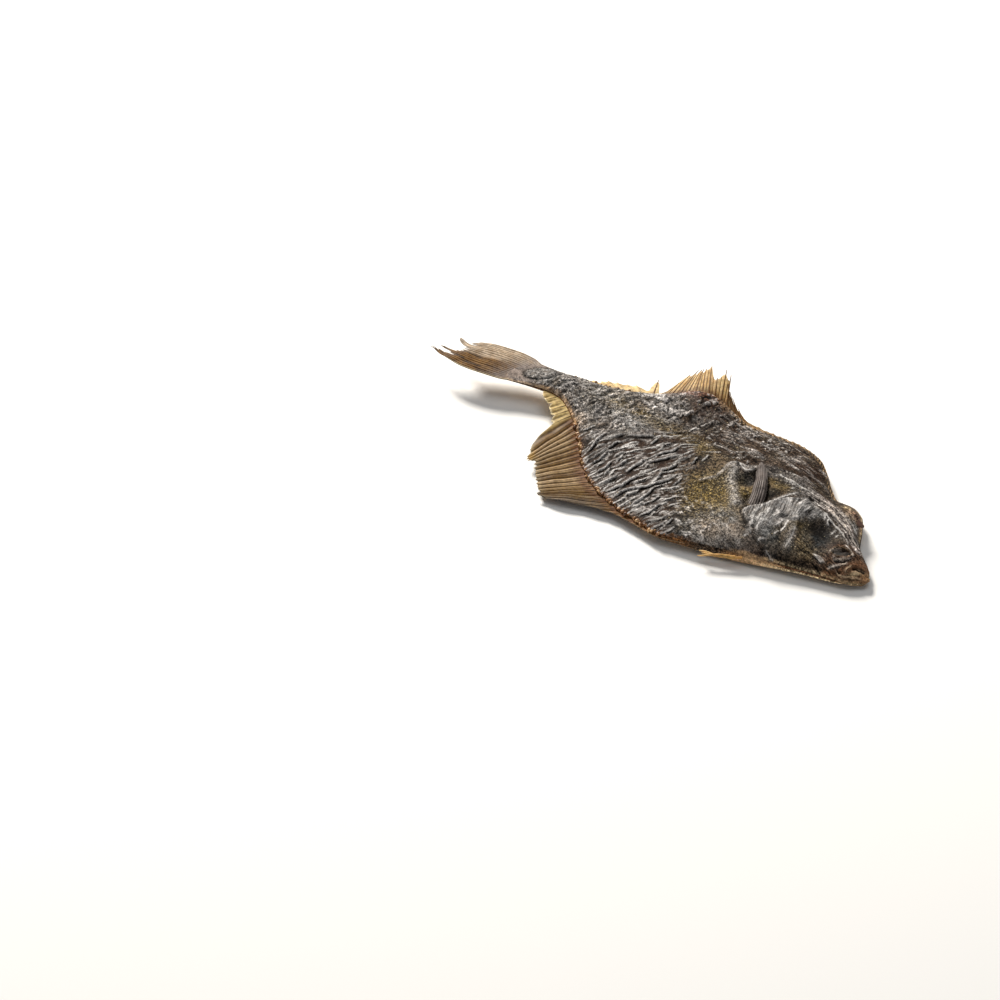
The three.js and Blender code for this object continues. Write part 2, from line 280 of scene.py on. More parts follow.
def place(s, y, z):  # points of the part, in metres
    s, y, z = np.broadcast_arrays(s, y, z)
    return np.stack([fish["snoutX"] - s, fish["axisY"] + y - turn(s), z], axis=-1) * mm


# nodes and materials
def linear(colour):  # sRGB hex to the linear colour that a shader takes
    shares = [int(colour[k : k + 2], 16) / 255 for k in (1, 3, 5)]
    return (*[c / 12.92 if c <= 0.04045 else ((c + 0.055) / 1.055) ** 2.4 for c in shares], 1.0)


def addNode(tree, kind, inputs=None, **settings):
    added = tree.nodes.new(kind)
    for setting, value in settings.items():
        setattr(added, setting, value)
    for name, value in (inputs or {}).items():
        if isinstance(value, bpy.types.NodeSocket):
            tree.links.new(value, added.inputs[name])
        else:
            added.inputs[name].default_value = value
    return added


def newMaterial(name):
    material = bpy.data.materials.new(name)
    material.use_nodes = True
    material.node_tree.nodes.clear()
    return material, material.node_tree


def perMetre(size):  # a texture's scale for a feature of this many millimetres
    return 1 / (size * mm)


def stretchedNoise(tree, at, scale, detail, roughness, ends, shades):  # noise, and the same spread between two shades
    found = addNode(tree, "ShaderNodeTexNoise", {
        "Vector": at, "Scale": scale, "Detail": detail, "Roughness": roughness}).outputs["Fac"]
    spread = addNode(tree, "ShaderNodeMapRange", {
        "Value": found, "From Min": ends[0], "From Max": ends[1], "To Min": shades[0], "To Max": shades[1]})
    return found, spread.outputs["Result"]


def paint(tree, at, colour, layers):  # lays each tone over the last, by a mark's strength broken up by noise
    for mark, tone, strength, size in layers:
        amount = addNode(tree, "ShaderNodeAttribute", attribute_name=mark).outputs["Fac"]
        if size:
            _, broken = stretchedNoise(tree, at, perMetre(size), 4.0, 0.65, (0.35, 0.62), (0.45, 1.0))
            amount = addNode(tree, "ShaderNodeMath", {0: amount, 1: broken}, operation="MULTIPLY").outputs[0]
        amount = addNode(tree, "ShaderNodeMath", {0: amount, 1: strength}, operation="MULTIPLY",
                         use_clamp=True).outputs[0]
        colour = addNode(tree, "ShaderNodeMix", {0: amount, 6: colour, 7: linear(tone)}, data_type="RGBA").outputs[2]
    return colour


def shadeBy(tree, colour, shade, mark, muted):  # shades a colour where a mark allows it, or where none mutes it
    there = addNode(tree, "ShaderNodeAttribute", attribute_name=mark).outputs["Fac"]
    plain, drawn = (3, 2) if muted else (2, 3)
    shade = addNode(tree, "ShaderNodeMix", {0: there, plain: 1.0, drawn: shade}, data_type="FLOAT").outputs[0]
    return addNode(tree, "ShaderNodeMix", {0: 1.0, 6: colour, 7: shade}, data_type="RGBA",
                   blend_type="MULTIPLY").outputs[2]


# Sun-dried fish skin: leathery and dark, salt-bloomed grey in places, with a painted highlight of light grey on each
# crest, painted shade near black in the folds, and old-gold specks where scales still catch the light, painted as
# glints.
# The marks on the mesh say where each of these lies.
skinLook = {
    "dark": "#18110c",
    "mid": "#54483d",
    "layers": [  # mark, tone, strength, and millimetres of the noise that breaks it up
        ("slate", "#353c3f", 0.95, 2.5),
        ("olive", "#806c40", 1.0, 2.0),
        ("purple", "#46332b", 0.95, 3.0),
        ("lip", "#7a5439", 1.0, 1.4),
        ("bloom", "#8b8a89", 0.85, 1.6),
        ("rust", "#83572f", 0.8, 1.2),
        ("wall", "#e2b98c", 0.95, 1.6),
        ("tan", "#c9a67c", 0.9, 1.6),
        ("red", "#6f4838", 0.85, 1.2),
        ("blind", "#b39a78", 1.0, 0),
        ("stain", "#7d5f43", 0.8, 6.0),
        # darker tone over the back, nape, brow and flank, and painted shade along the belly's edge
        ("dim", "#190d05", 0.7, 3.0),
        # painted shade in folds, creases and beside raised edges, with a few dark lines of the jaw and the back's edge
        ("valley", "#0c0704", 1.0, 0),
        # painted highlight on crests and lit slopes, with light flecks of bone, grey plates and salt crumbs
        ("crest", "#e6dfda", 1.0, 0.9),
        ("pale", "#ecd3a8", 0.95, 1.5),
        ("lid", "#cbb594", 0.9, 0),
        ("finRoot", "#968880", 0.92, 1.5),
    ],
    # scale, detail and roughness of a noise, the ends of it that count, and the shades that they get
    "patch": (perMetre(4.0), 6.0, 0.72, (0.38, 0.62), (0.0, 1.0)),
    "grain": (perMetre(1.0), 3.0, 0.75, (0.39, 0.62), (0.3, 1.85)),
    "grit": (perMetre(0.5), 1.0, 0.5, (0.35, 0.65), (0.45, 1.5)),
    "brush": (1.0, 2.0, 0.6, (0.36, 0.64), (0.2, 2.2)),
    "speck": 0.85,  # millimetres between scales
    "speckDot": (0.1, 0.4, 1.0, 0.0),  # from where to where in a speck's cell, and the shades there
    "speckRing": (0.2, 0.56, 1.25, 0.24),
    "speckFew": (0.5, 1.0, 0.0, 0.75),  # from where to where in the draw of each speck, and how strong it gets
    "speckGrey": "#aaa49b", "speckGold": "#b9ac8c",
    # painted highlight and painted shade of the crease lines, on the skin and on the lips
    "Light": "#ece8e4", "Dark": "#0f0804",  # crease lines
    "lipLight": "#d3b896", "lipDark": "#1a0c04",
    "creaseLine": (0.09, 0.38),  # millimetres from a crease where its line starts to fade, and where it is gone
    # the dark line beside a light one is a painted shadow
    "shadowStart": (0.25, 0.45), "shadowEnd": (0.7, 1.1),  # the dark line beside a light one
    # the light crease line is a painted highlight, broken up by grain
    "wearAndLight": (0.4, 0.58, 0.3, 1.0),  # grain that wears a light line, and what stays of it
    "gloss": (0.3, 0.7, 0.45, 0.7),  # patches, and how rough they are
    "specular": 0.03, "relief": 0.3, "reliefStrength": 0.9,  # relief in millimetres
}
skinMaterial, tree = newMaterial("driedFishSkin")
at = addNode(tree, "ShaderNodeTexCoord").outputs["Object"]
patches, ground = stretchedNoise(tree, at, *skinLook["patch"])
colour = addNode(tree, "ShaderNodeMix", {0: ground, 6: linear(skinLook["dark"]), 7: linear(skinLook["mid"])},
                 data_type="RGBA").outputs[2]
colour = paint(tree, at, colour, skinLook["layers"])
# fine grain and grit, drawn a little coarser than the real ones so that they show
grain, grainShade = stretchedNoise(tree, at, *skinLook["grain"])
_, gritShade = stretchedNoise(tree, at, *skinLook["grit"])
# brushed streaks that follow the creases of the head and the shoulder
across, along, often, golden, away, tone, lips = (
    addNode(tree, "ShaderNodeAttribute", attribute_name=mark).outputs["Fac"]
    for mark in ("across", "along", "speck", "olive", "creaseAway", "creaseTone", "lip"))
flow = addNode(tree, "ShaderNodeCombineXYZ", {"X": across, "Y": along}).outputs[0]
_, brushShade = stretchedNoise(tree, flow, *skinLook["brush"])
# scale specks, their own old gold where the skin is olive and grey elsewhere, painted bright as glints, each in a
# darker ring
specks = addNode(tree, "ShaderNodeTexVoronoi", {"Vector": at, "Scale": perMetre(skinLook["speck"])})
few = addNode(tree, "ShaderNodeSeparateColor", {"Color": specks.outputs["Color"]}).outputs["Red"]
fromSpeck = specks.outputs["Distance"]
dots, ringShade, few, wearAndLight, gloss = (addNode(tree, "ShaderNodeMapRange", {
    "Value": value, **dict(zip(("From Min", "From Max", "To Min", "To Max"), skinLook[key]))}).outputs["Result"]
    for value, key in ((fromSpeck, "speckDot"), (fromSpeck, "speckRing"), (few, "speckFew"), (grain, "wearAndLight"),
                       (patches, "gloss")))
for shade, mark, muted in ((grainShade, "even", True), (gritShade, "even", True), (brushShade, "brushed", False),
                           (ringShade, "speck", False)):
    colour = shadeBy(tree, colour, shade, mark, muted)
for share in (few, often):
    dots = addNode(tree, "ShaderNodeMath", {0: dots, 1: share}, operation="MULTIPLY", use_clamp=True).outputs[0]
tint = addNode(tree, "ShaderNodeMix", {
    0: golden, 6: linear(skinLook["speckGrey"]), 7: linear(skinLook["speckGold"])}, data_type="RGBA").outputs[2]
colour = addNode(tree, "ShaderNodeMix", {0: dots, 6: colour, 7: tint}, data_type="RGBA").outputs[2]
# crisp lines along single creases: a raised one is a painted highlight with painted shade beside it, a sunk one is
# painted shade. The mesh says how far off the nearest one is, below 0 on its other side, and how light or dark it is
gap = addNode(tree, "ShaderNodeMath", {0: away}, operation="ABSOLUTE").outputs[0]
line, started, ended = (addNode(tree, "ShaderNodeMapRange", {
    "Value": value, "From Min": skinLook[key][0], "From Max": skinLook[key][1], "To Min": first, "To Max": 1.0 - first},
    interpolation_type="SMOOTHSTEP").outputs["Result"]
    for value, key, first in ((gap, "creaseLine", 1.0), (away, "shadowStart", 0.0), (away, "shadowEnd", 1.0)))
highlightLine, shadow = (addNode(tree, "ShaderNodeMath", {0: one, 1: other}, operation="MULTIPLY").outputs[0]
                    for one, other in ((line, wearAndLight), (started, ended)))
highlightInk, shadeInk = (addNode(tree, "ShaderNodeMix", {
    0: lips, 6: linear(skinLook[ink]), 7: linear(skinLook["lip" + ink])}, data_type="RGBA").outputs[2]
    for ink in ("Light", "Dark"))
# painted shadow beside a raised crease, then its painted highlight, then painted shade in a sunk crease
for sign, drawn, ink in ((1.0, shadow, shadeInk), (1.0, highlightLine, highlightInk), (-1.0, line, shadeInk)):
    amount = tone
    for share in (sign, drawn):
        amount = addNode(tree, "ShaderNodeMath", {0: amount, 1: share}, operation="MULTIPLY", use_clamp=True).outputs[0]
    colour = addNode(tree, "ShaderNodeMix", {0: amount, 6: colour, 7: ink}, data_type="RGBA").outputs[2]
relief = addNode(tree, "ShaderNodeBump", {
    "Height": grain, "Strength": skinLook["reliefStrength"], "Distance": skinLook["relief"] * mm})
surface = addNode(tree, "ShaderNodeBsdfPrincipled", {
    "Base Color": colour, "Roughness": gloss, "Normal": relief.outputs["Normal"], "IOR": 1.45,
    "Specular IOR Level": skinLook["specular"]})
addNode(tree, "ShaderNodeOutputMaterial", {"Surface": surface.outputs["BSDF"]})


# Dry fin: horn-like skin stretched between bony rays. It lets light through, so it glows where lit from behind.
finLook = {
    "mottle": (perMetre(3.2), 5.0, 0.68, (0.36, 0.64), (0.0, 1.0)),
    "fibre": (perMetre(1.1), 3.0, 0.7, (0.3, 0.7), (0.72, 1.28)),
    "roughness": 0.5, "specular": 0.2,
    "relief": 0.2, "reliefStrength": 0.5,  # relief in millimetres
}


def finMaterial(name, thin, thick, layers, through):
    material, tree = newMaterial(name)
    at = addNode(tree, "ShaderNodeTexCoord").outputs["Object"]
    _, ground = stretchedNoise(tree, at, *finLook["mottle"])
    colour = addNode(tree, "ShaderNodeMix", {0: ground, 6: linear(thin), 7: linear(thick)}, data_type="RGBA").outputs[2]
    colour = paint(tree, at, colour, layers)
    fibre, shade = stretchedNoise(tree, at, *finLook["fibre"])
    colour = addNode(tree, "ShaderNodeMix", {0: 1.0, 6: colour, 7: shade}, data_type="RGBA",
                     blend_type="MULTIPLY").outputs[2]
    bump = addNode(tree, "ShaderNodeBump", {
        "Height": fibre, "Strength": finLook["reliefStrength"], "Distance": finLook["relief"] * mm})
    surface = addNode(tree, "ShaderNodeBsdfPrincipled", {
        "Base Color": colour, "Roughness": finLook["roughness"], "Normal": bump.outputs["Normal"], "IOR": 1.5,
        "Specular IOR Level": finLook["specular"]})
    glow = addNode(tree, "ShaderNodeBsdfTranslucent", {"Color": colour, "Normal": bump.outputs["Normal"]})
    both = addNode(tree, "ShaderNodeMixShader", {0: through, 1: surface.outputs["BSDF"], 2: glow.outputs["BSDF"]})
    addNode(tree, "ShaderNodeOutputMaterial", {"Surface": both.outputs["Shader"]})
    return material


def clouded(name, look):  # one clouded material: noise spread over a ramp of tones, from dark to light
    material, tree = newMaterial(name)
    at = addNode(tree, "ShaderNodeTexCoord").outputs["Object"]
    cloud = addNode(tree, "ShaderNodeTexNoise", {
        "Vector": at, "Scale": perMetre(look["cloud"]), "Detail": look["detail"]}).outputs["Fac"]
    tones = addNode(tree, "ShaderNodeValToRGB", {"Fac": cloud})
    ramp = tones.color_ramp.elements
    for stop, (position, tone) in zip(ramp, (look["tones"][0], look["tones"][-1])):
        stop.position, stop.color = position, linear(tone)
    for position, tone in look["tones"][1:-1]:
        ramp.new(position).color = linear(tone)
    colour = paint(tree, at, tones.outputs["Color"], look.get("layers", []))
    surface = addNode(tree, "ShaderNodeBsdfPrincipled", {
        "Base Color": colour, "Roughness": look["roughness"], "Specular IOR Level": look["specular"]})
    if "relief" in look:
        bump = addNode(tree, "ShaderNodeBump", {
            "Height": cloud, "Strength": look["reliefStrength"], "Distance": look["relief"] * mm})
        tree.links.new(bump.outputs["Normal"], surface.inputs["Normal"])
    addNode(tree, "ShaderNodeOutputMaterial", {"Surface": surface.outputs["BSDF"]})
    return material


# meshes
def newPiece(name, points, faces, marks, material):
    mesh = bpy.data.meshes.new(name)
    mesh.from_pydata(np.asarray(points).reshape(-1, 3).tolist(), [], faces)
    for mark, values in marks.items():
        layer = mesh.attributes.new(mark, "FLOAT", "POINT")
        layer.data.foreach_set("value", np.asarray(values, np.float32).ravel())
    mesh.polygons.foreach_set("use_smooth", np.ones(len(mesh.polygons), bool))
    mesh.materials.append(material)
    mesh.update()
    piece = bpy.data.objects.new(name, mesh)
    bpy.context.scene.collection.objects.link(piece)
    return piece


def slabFaces(rows, columns):  # a closed sheet: upper grid, under grid and the wall round them
    grid = np.arange(rows * columns).reshape(rows, columns)
    a, b, c, d = grid[:-1, :-1], grid[:-1, 1:], grid[1:, 1:], grid[1:, :-1]
    upper = np.stack([a, b, c, d], -1).reshape(-1, 4)
    below = rows * columns
    under = upper[:, ::-1] + below
    rim = np.concatenate([grid[0, :-1], grid[:-1, -1], grid[-1, :0:-1], grid[:0:-1, 0]])
    following = np.roll(rim, -1)
    wall = np.stack([following, rim, rim + below, following + below], -1)
    return np.concatenate([upper, under, wall]).tolist()


def finish(piece, slot, *nodes):
    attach(piece, "root")
    if nodes:
        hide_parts(*nodes)


# the body: rings round the section, from the snout to the oval end of the tail's root
bodyMake = {
    "headStep": 0.36, "wrinkleStep": 0.33, "tailStep": 0.5,  # rows along the body
    "topColumns": 156, "underColumns": 26, "rimColumns": 6,
    "crowding": 1.1,  # how far the columns gather at both edges
    "rimTop": 0.47, "rimUnder": 0.25, "bellyWall": 0.17,  # shares of the crown's height
    "domeSquare": 2.6, "domeRound": 0.8, "backBulge": 0.55, "bellyBulge": 0.35,
    "nose": 1.6, "tailOval": 3.0, "blindRibs": 6.2, "dashPitch": 2.0,
    "wrinkle": 0.95, "fineWrinkle": 0.4, "grain": 0.1, "gillStep": 1.4,
    "streakWide": 0.48, "streakLong": 8.0,  # brushed streaks of the skin
    "noCrease": 3.0,  # said to be the distance of a crease where none is near
    "smallFolds": ((2.3, 23), (3.4, 43)), "finestFold": (1.7, 63),  # millimetres apart, and seed
    "foldLean": -0.42, "finestLean": -0.38,
    "foldSteep": 0.2, "foldCrest": 0.24,  # shares of a fold: its steep side, and where its crest line lies
    "plateSize": (5.2, 2.8),
}
browPath = [(66, 12), (56, 13.2), (46, 14), (36, 14.6), (28, 13), (20.5, 10.6), (14.5, 7.4), (9, 6)]
spinePath = [(160, 0), (120, -1), (90, 1), (66, 4)]
ridgePath = [(73, -8), (70, -3), (70.4, 3), (70, 7.6), (65, 9), (61, 12.5)]
ribPath = [(69.4, 5.6), (64.4, -1.2), (58, -6.2), (53.5, -10.4)]
preoperclePath = [(36.5, 8), (33.6, 0), (30, -7), (26, -13)]
chinPath = [(9, -10.6), (5.5, -8.8), (2.4, -6.4), (-0.3, -3.6)]
jawPath = [(24, -8.8), (17.5, -9), (12, -9.2)]
blindMouth = [(11, -7.5), (5, -5.5), (-1, -2.5)]
flankGroove = [(115.6, -14.2), (110.7, -8.7), (102.7, -2.2)]
lowerEye = {"middle": (11.3, -1.1), "long": 3.6, "wide": 1.9, "turned": 41}
upperEye = {"middle": (19.6, 16.4), "long": 2.8, "wide": 1.5, "turned": 20}
# folds of the flank: height, width of the lit slope and brightness of its painted highlight, then s and y of each point
# of the crest
flankFolds = [
    (0.5, 0.8, 0.8, 126.7, -15.8, 125.1, -14.2, 124.6, -12.7, 124.2, -11),
    (1, 1.2, 1, 117.3, -23.2, 116.6, -22.4, 116.4, -20.9, 117.1, -18.9, 117.9, -17.1, 118.1, -14.9, 118.2, -13.3,
        118.1, -11.3),
    (0.5, 0.8, 0.8, 119, -20.3, 118.6, -19, 118.6, -17.5),
    (0.4, 0.7, 0.8, 120.6, -17.1, 120.2, -15.9, 120.8, -14.3),
    (0.4, 0.6, 0.9, 122.7, -15.3, 122.7, -14),
    (0.7, 1, 0.8, 116.2, -13.9, 115.3, -12.4, 114.1, -10.6, 113.2, -8.9, 112, -7.4),
    (0.9, 3, 0.5, 111.8, -7.6, 109.9, -6.5, 107.3, -4.9, 104.6, -2.4, 102.7, -1.2),
    (0.7, 0.9, 0.8, 112.1, -24.7, 112, -22.8, 111.7, -21, 111.7, -19, 112.5, -17.2),
    (0.8, 1.1, 0.9, 111.1, -18.6, 111.2, -17, 111.2, -15.5, 111.5, -13.9, 111, -12.6, 109.2, -10.7),
    (0.9, 0.9, 0.9, 110.4, -26.8, 110, -25.8, 109.4, -24.3, 109.6, -22.1, 109.7, -20.5, 109.6, -19.1),
    (0.6, 0.8, 0.8, 107.5, -27.2, 107.5, -25.7, 107.1, -24.5, 106.7, -23.3),
    (0.9, 1.2, 0.95, 104.9, -29.2, 104.8, -27.7, 104, -26, 104.3, -24.6, 104.7, -23.3, 104.8, -21.6),
    (0.7, 0.9, 0.9, 105.7, -20, 105.8, -18.6, 105.6, -17.3, 105.4, -16, 104.7, -14.7),
    (0.6, 1.4, 0.7, 102.6, -21.5, 103.4, -20, 103.7, -18.4, 103.8, -17.3),
    (0.8, 0.9, 0.95, 100.9, -22.2, 100.7, -20.6, 100.7, -19.1, 100.7, -17.6),
    (1, 1.6, 1, 96.6, -23.6, 96.1, -21.1, 96.2, -19, 95.8, -16.3, 96, -14.5),
    (0.4, 0.7, 0.6, 112.6, -28.1, 112.9, -26.7, 113.9, -25),
    (0.8, 0.9, 0.95, 101.6, -28.8, 101.8, -27.7, 102.1, -26.3, 102.5, -24.8),
    (0.6, 0.8, 0.8, 105.3, -31.8, 104, -31, 103.2, -29.8, 103.1, -28.9),
    (0.9, 1.8, 0.85, 101.7, -34.2, 100.3, -33.1, 99.3, -31.5, 98.6, -30.2, 97.8, -28.5, 97.5, -26.8, 97.7, -25.6),
    (0.4, 0.7, 0.9, 99.9, -28, 99.9, -26.4, 99.9, -25.5),
    (1.1, 1.8, 1, 96.9, -34.9, 95, -33.8, 93.7, -32, 93.2, -30.5, 92.2, -28.9, 91.9, -27.5, 92, -25.6, 91.6, -24,
        91.2, -21.9, 91.1, -20.4),
    (0.4, 0.7, 0.8, 94.6, -29.3, 95.1, -27.9, 94.5, -26.2),
    (1.1, 1.2, 1, 91.5, -35.1, 90.8, -34.3, 90.3, -33.2, 90.4, -32.2, 90, -31.1, 89.3, -29.7, 88.1, -27.9, 86.1,
        -25.8, 84.3, -23.6, 83.6, -20.8, 82.3, -18.5, 81.6, -16.2, 81.3, -13.4, 81.1, -10.5),
    (0.6, 1.2, 0.8, 87.8, -32.7, 87.4, -30.6, 86.2, -29.3, 85.6, -27.8, 86.1, -26.4),
    (0.5, 1.4, 0.9, 87.8, -34.7, 87.3, -33.7, 87.1, -32.2),
    (0.4, 0.8, 0.8, 84.6, -32.8, 84.3, -31.7, 83.7, -30.7),
    (0.9, 1.3, 0.9, 82.4, -34.5, 82.2, -33.2, 81.7, -31.2, 81.6, -29.3, 81.6, -27.3, 81.6, -25.3, 82.1, -23.3, 82.1,
        -21.8),
    (0.5, 0.8, 0.8, 81.8, -34.6, 81.1, -33.3, 80.4, -32, 80, -29.9),
    (0.8, 1, 0.95, 76.5, -36.3, 76.3, -35, 75.6, -33.7, 74.7, -32.6, 74.7, -31.1, 74.5, -29.8, 74.6, -28.2, 74.6,
        -26.2),
    (0.5, 0.7, 0.8, 78.1, -28.8, 77.5, -27.3, 77.4, -25.9, 77.6, -24.7),
    (0.4, 0.7, 0.6, 79.6, -26.3, 78.9, -25, 77.7, -23.6),
    (0.4, 0.7, 0.8, 73.1, -33.2, 73.4, -31.9, 73, -30.8),
    (0.6, 0.8, 0.8, 73, -36.3, 72, -35.3, 70.3, -33.9, 69, -32.8, 68.4, -31.4, 68.3, -30.5),
    (0.6, 0.7, 0.8, 68.8, -36.5, 67.7, -35.6, 66.9, -34.4, 66.5, -33.3),
    (0.5, 0.7, 0.75, 65.7, -33.5, 65.5, -32.3, 65.6, -30.7, 65.8, -29.5),
    (0.5, 0.7, 0.75, 63.5, -35.2, 62.8, -34.5, 62.6, -33.4, 62.7, -32.1),
    (0.6, 0.8, 0.8, 101.2, -5.7, 101.2, -4.2, 101.1, -2.8, 100.8, -1.5),
    (0.9, 1.1, 0.95, 94.3, -10, 94.4, -7.9, 94, -6.3, 93.2, -4.5, 92.1, -2.5, 91.9, -0.7, 91.7, 0.7),
    (0.4, 0.9, 0.5, 96.5, -6.9, 96.5, -5.3, 96.6, -3.9, 97.8, -2.4),
    (0.8, 1.2, 0.75, 95.6, -14.4, 94.1, -13.8, 92.7, -12.2, 91.8, -10, 90.9, -7.9, 90.4, -5.8, 89.4, -3.7, 88.2,
        -1.8),
    (0.9, 2.2, 0.9, 87.4, -14.9, 87.1, -13.7, 86.4, -12.4, 85.8, -10.4, 85.7, -8.4, 86.5, -6.6),
    (0.5, 0.8, 0.6, 87.1, -6, 87.2, -4.3, 85.8, -2.6, 84.7, -1.2),
    (0.7, 0.7, 0.8, 81.7, -4.3, 82.1, -2.5, 82.5, -0.9, 82.6, 0.3),
    (0.5, 0.7, 0.65, 80.1, -0.2, 80, 1.2, 80.3, 2.6, 81.2, 4.5),
    (0.5, 0.7, 0.85, 98.1, 11, 98.1, 13.1, 97.7, 14.3, 97.2, 15.2),
    (0.3, 0.6, 0.7, 92.9, -16.6, 93.3, -14.6),
    (0.5, 0.9, 0.5, 78.2, -17.5, 78.4, -15.8, 78.6, -14, 79.5, -10.6),
    (0.9, 2.5, 0.85, 84.8, -23.1, 84.7, -21.2, 84.9, -19.2, 85.3, -17.3, 85.7, -15.7, 86.4, -13.9),
]
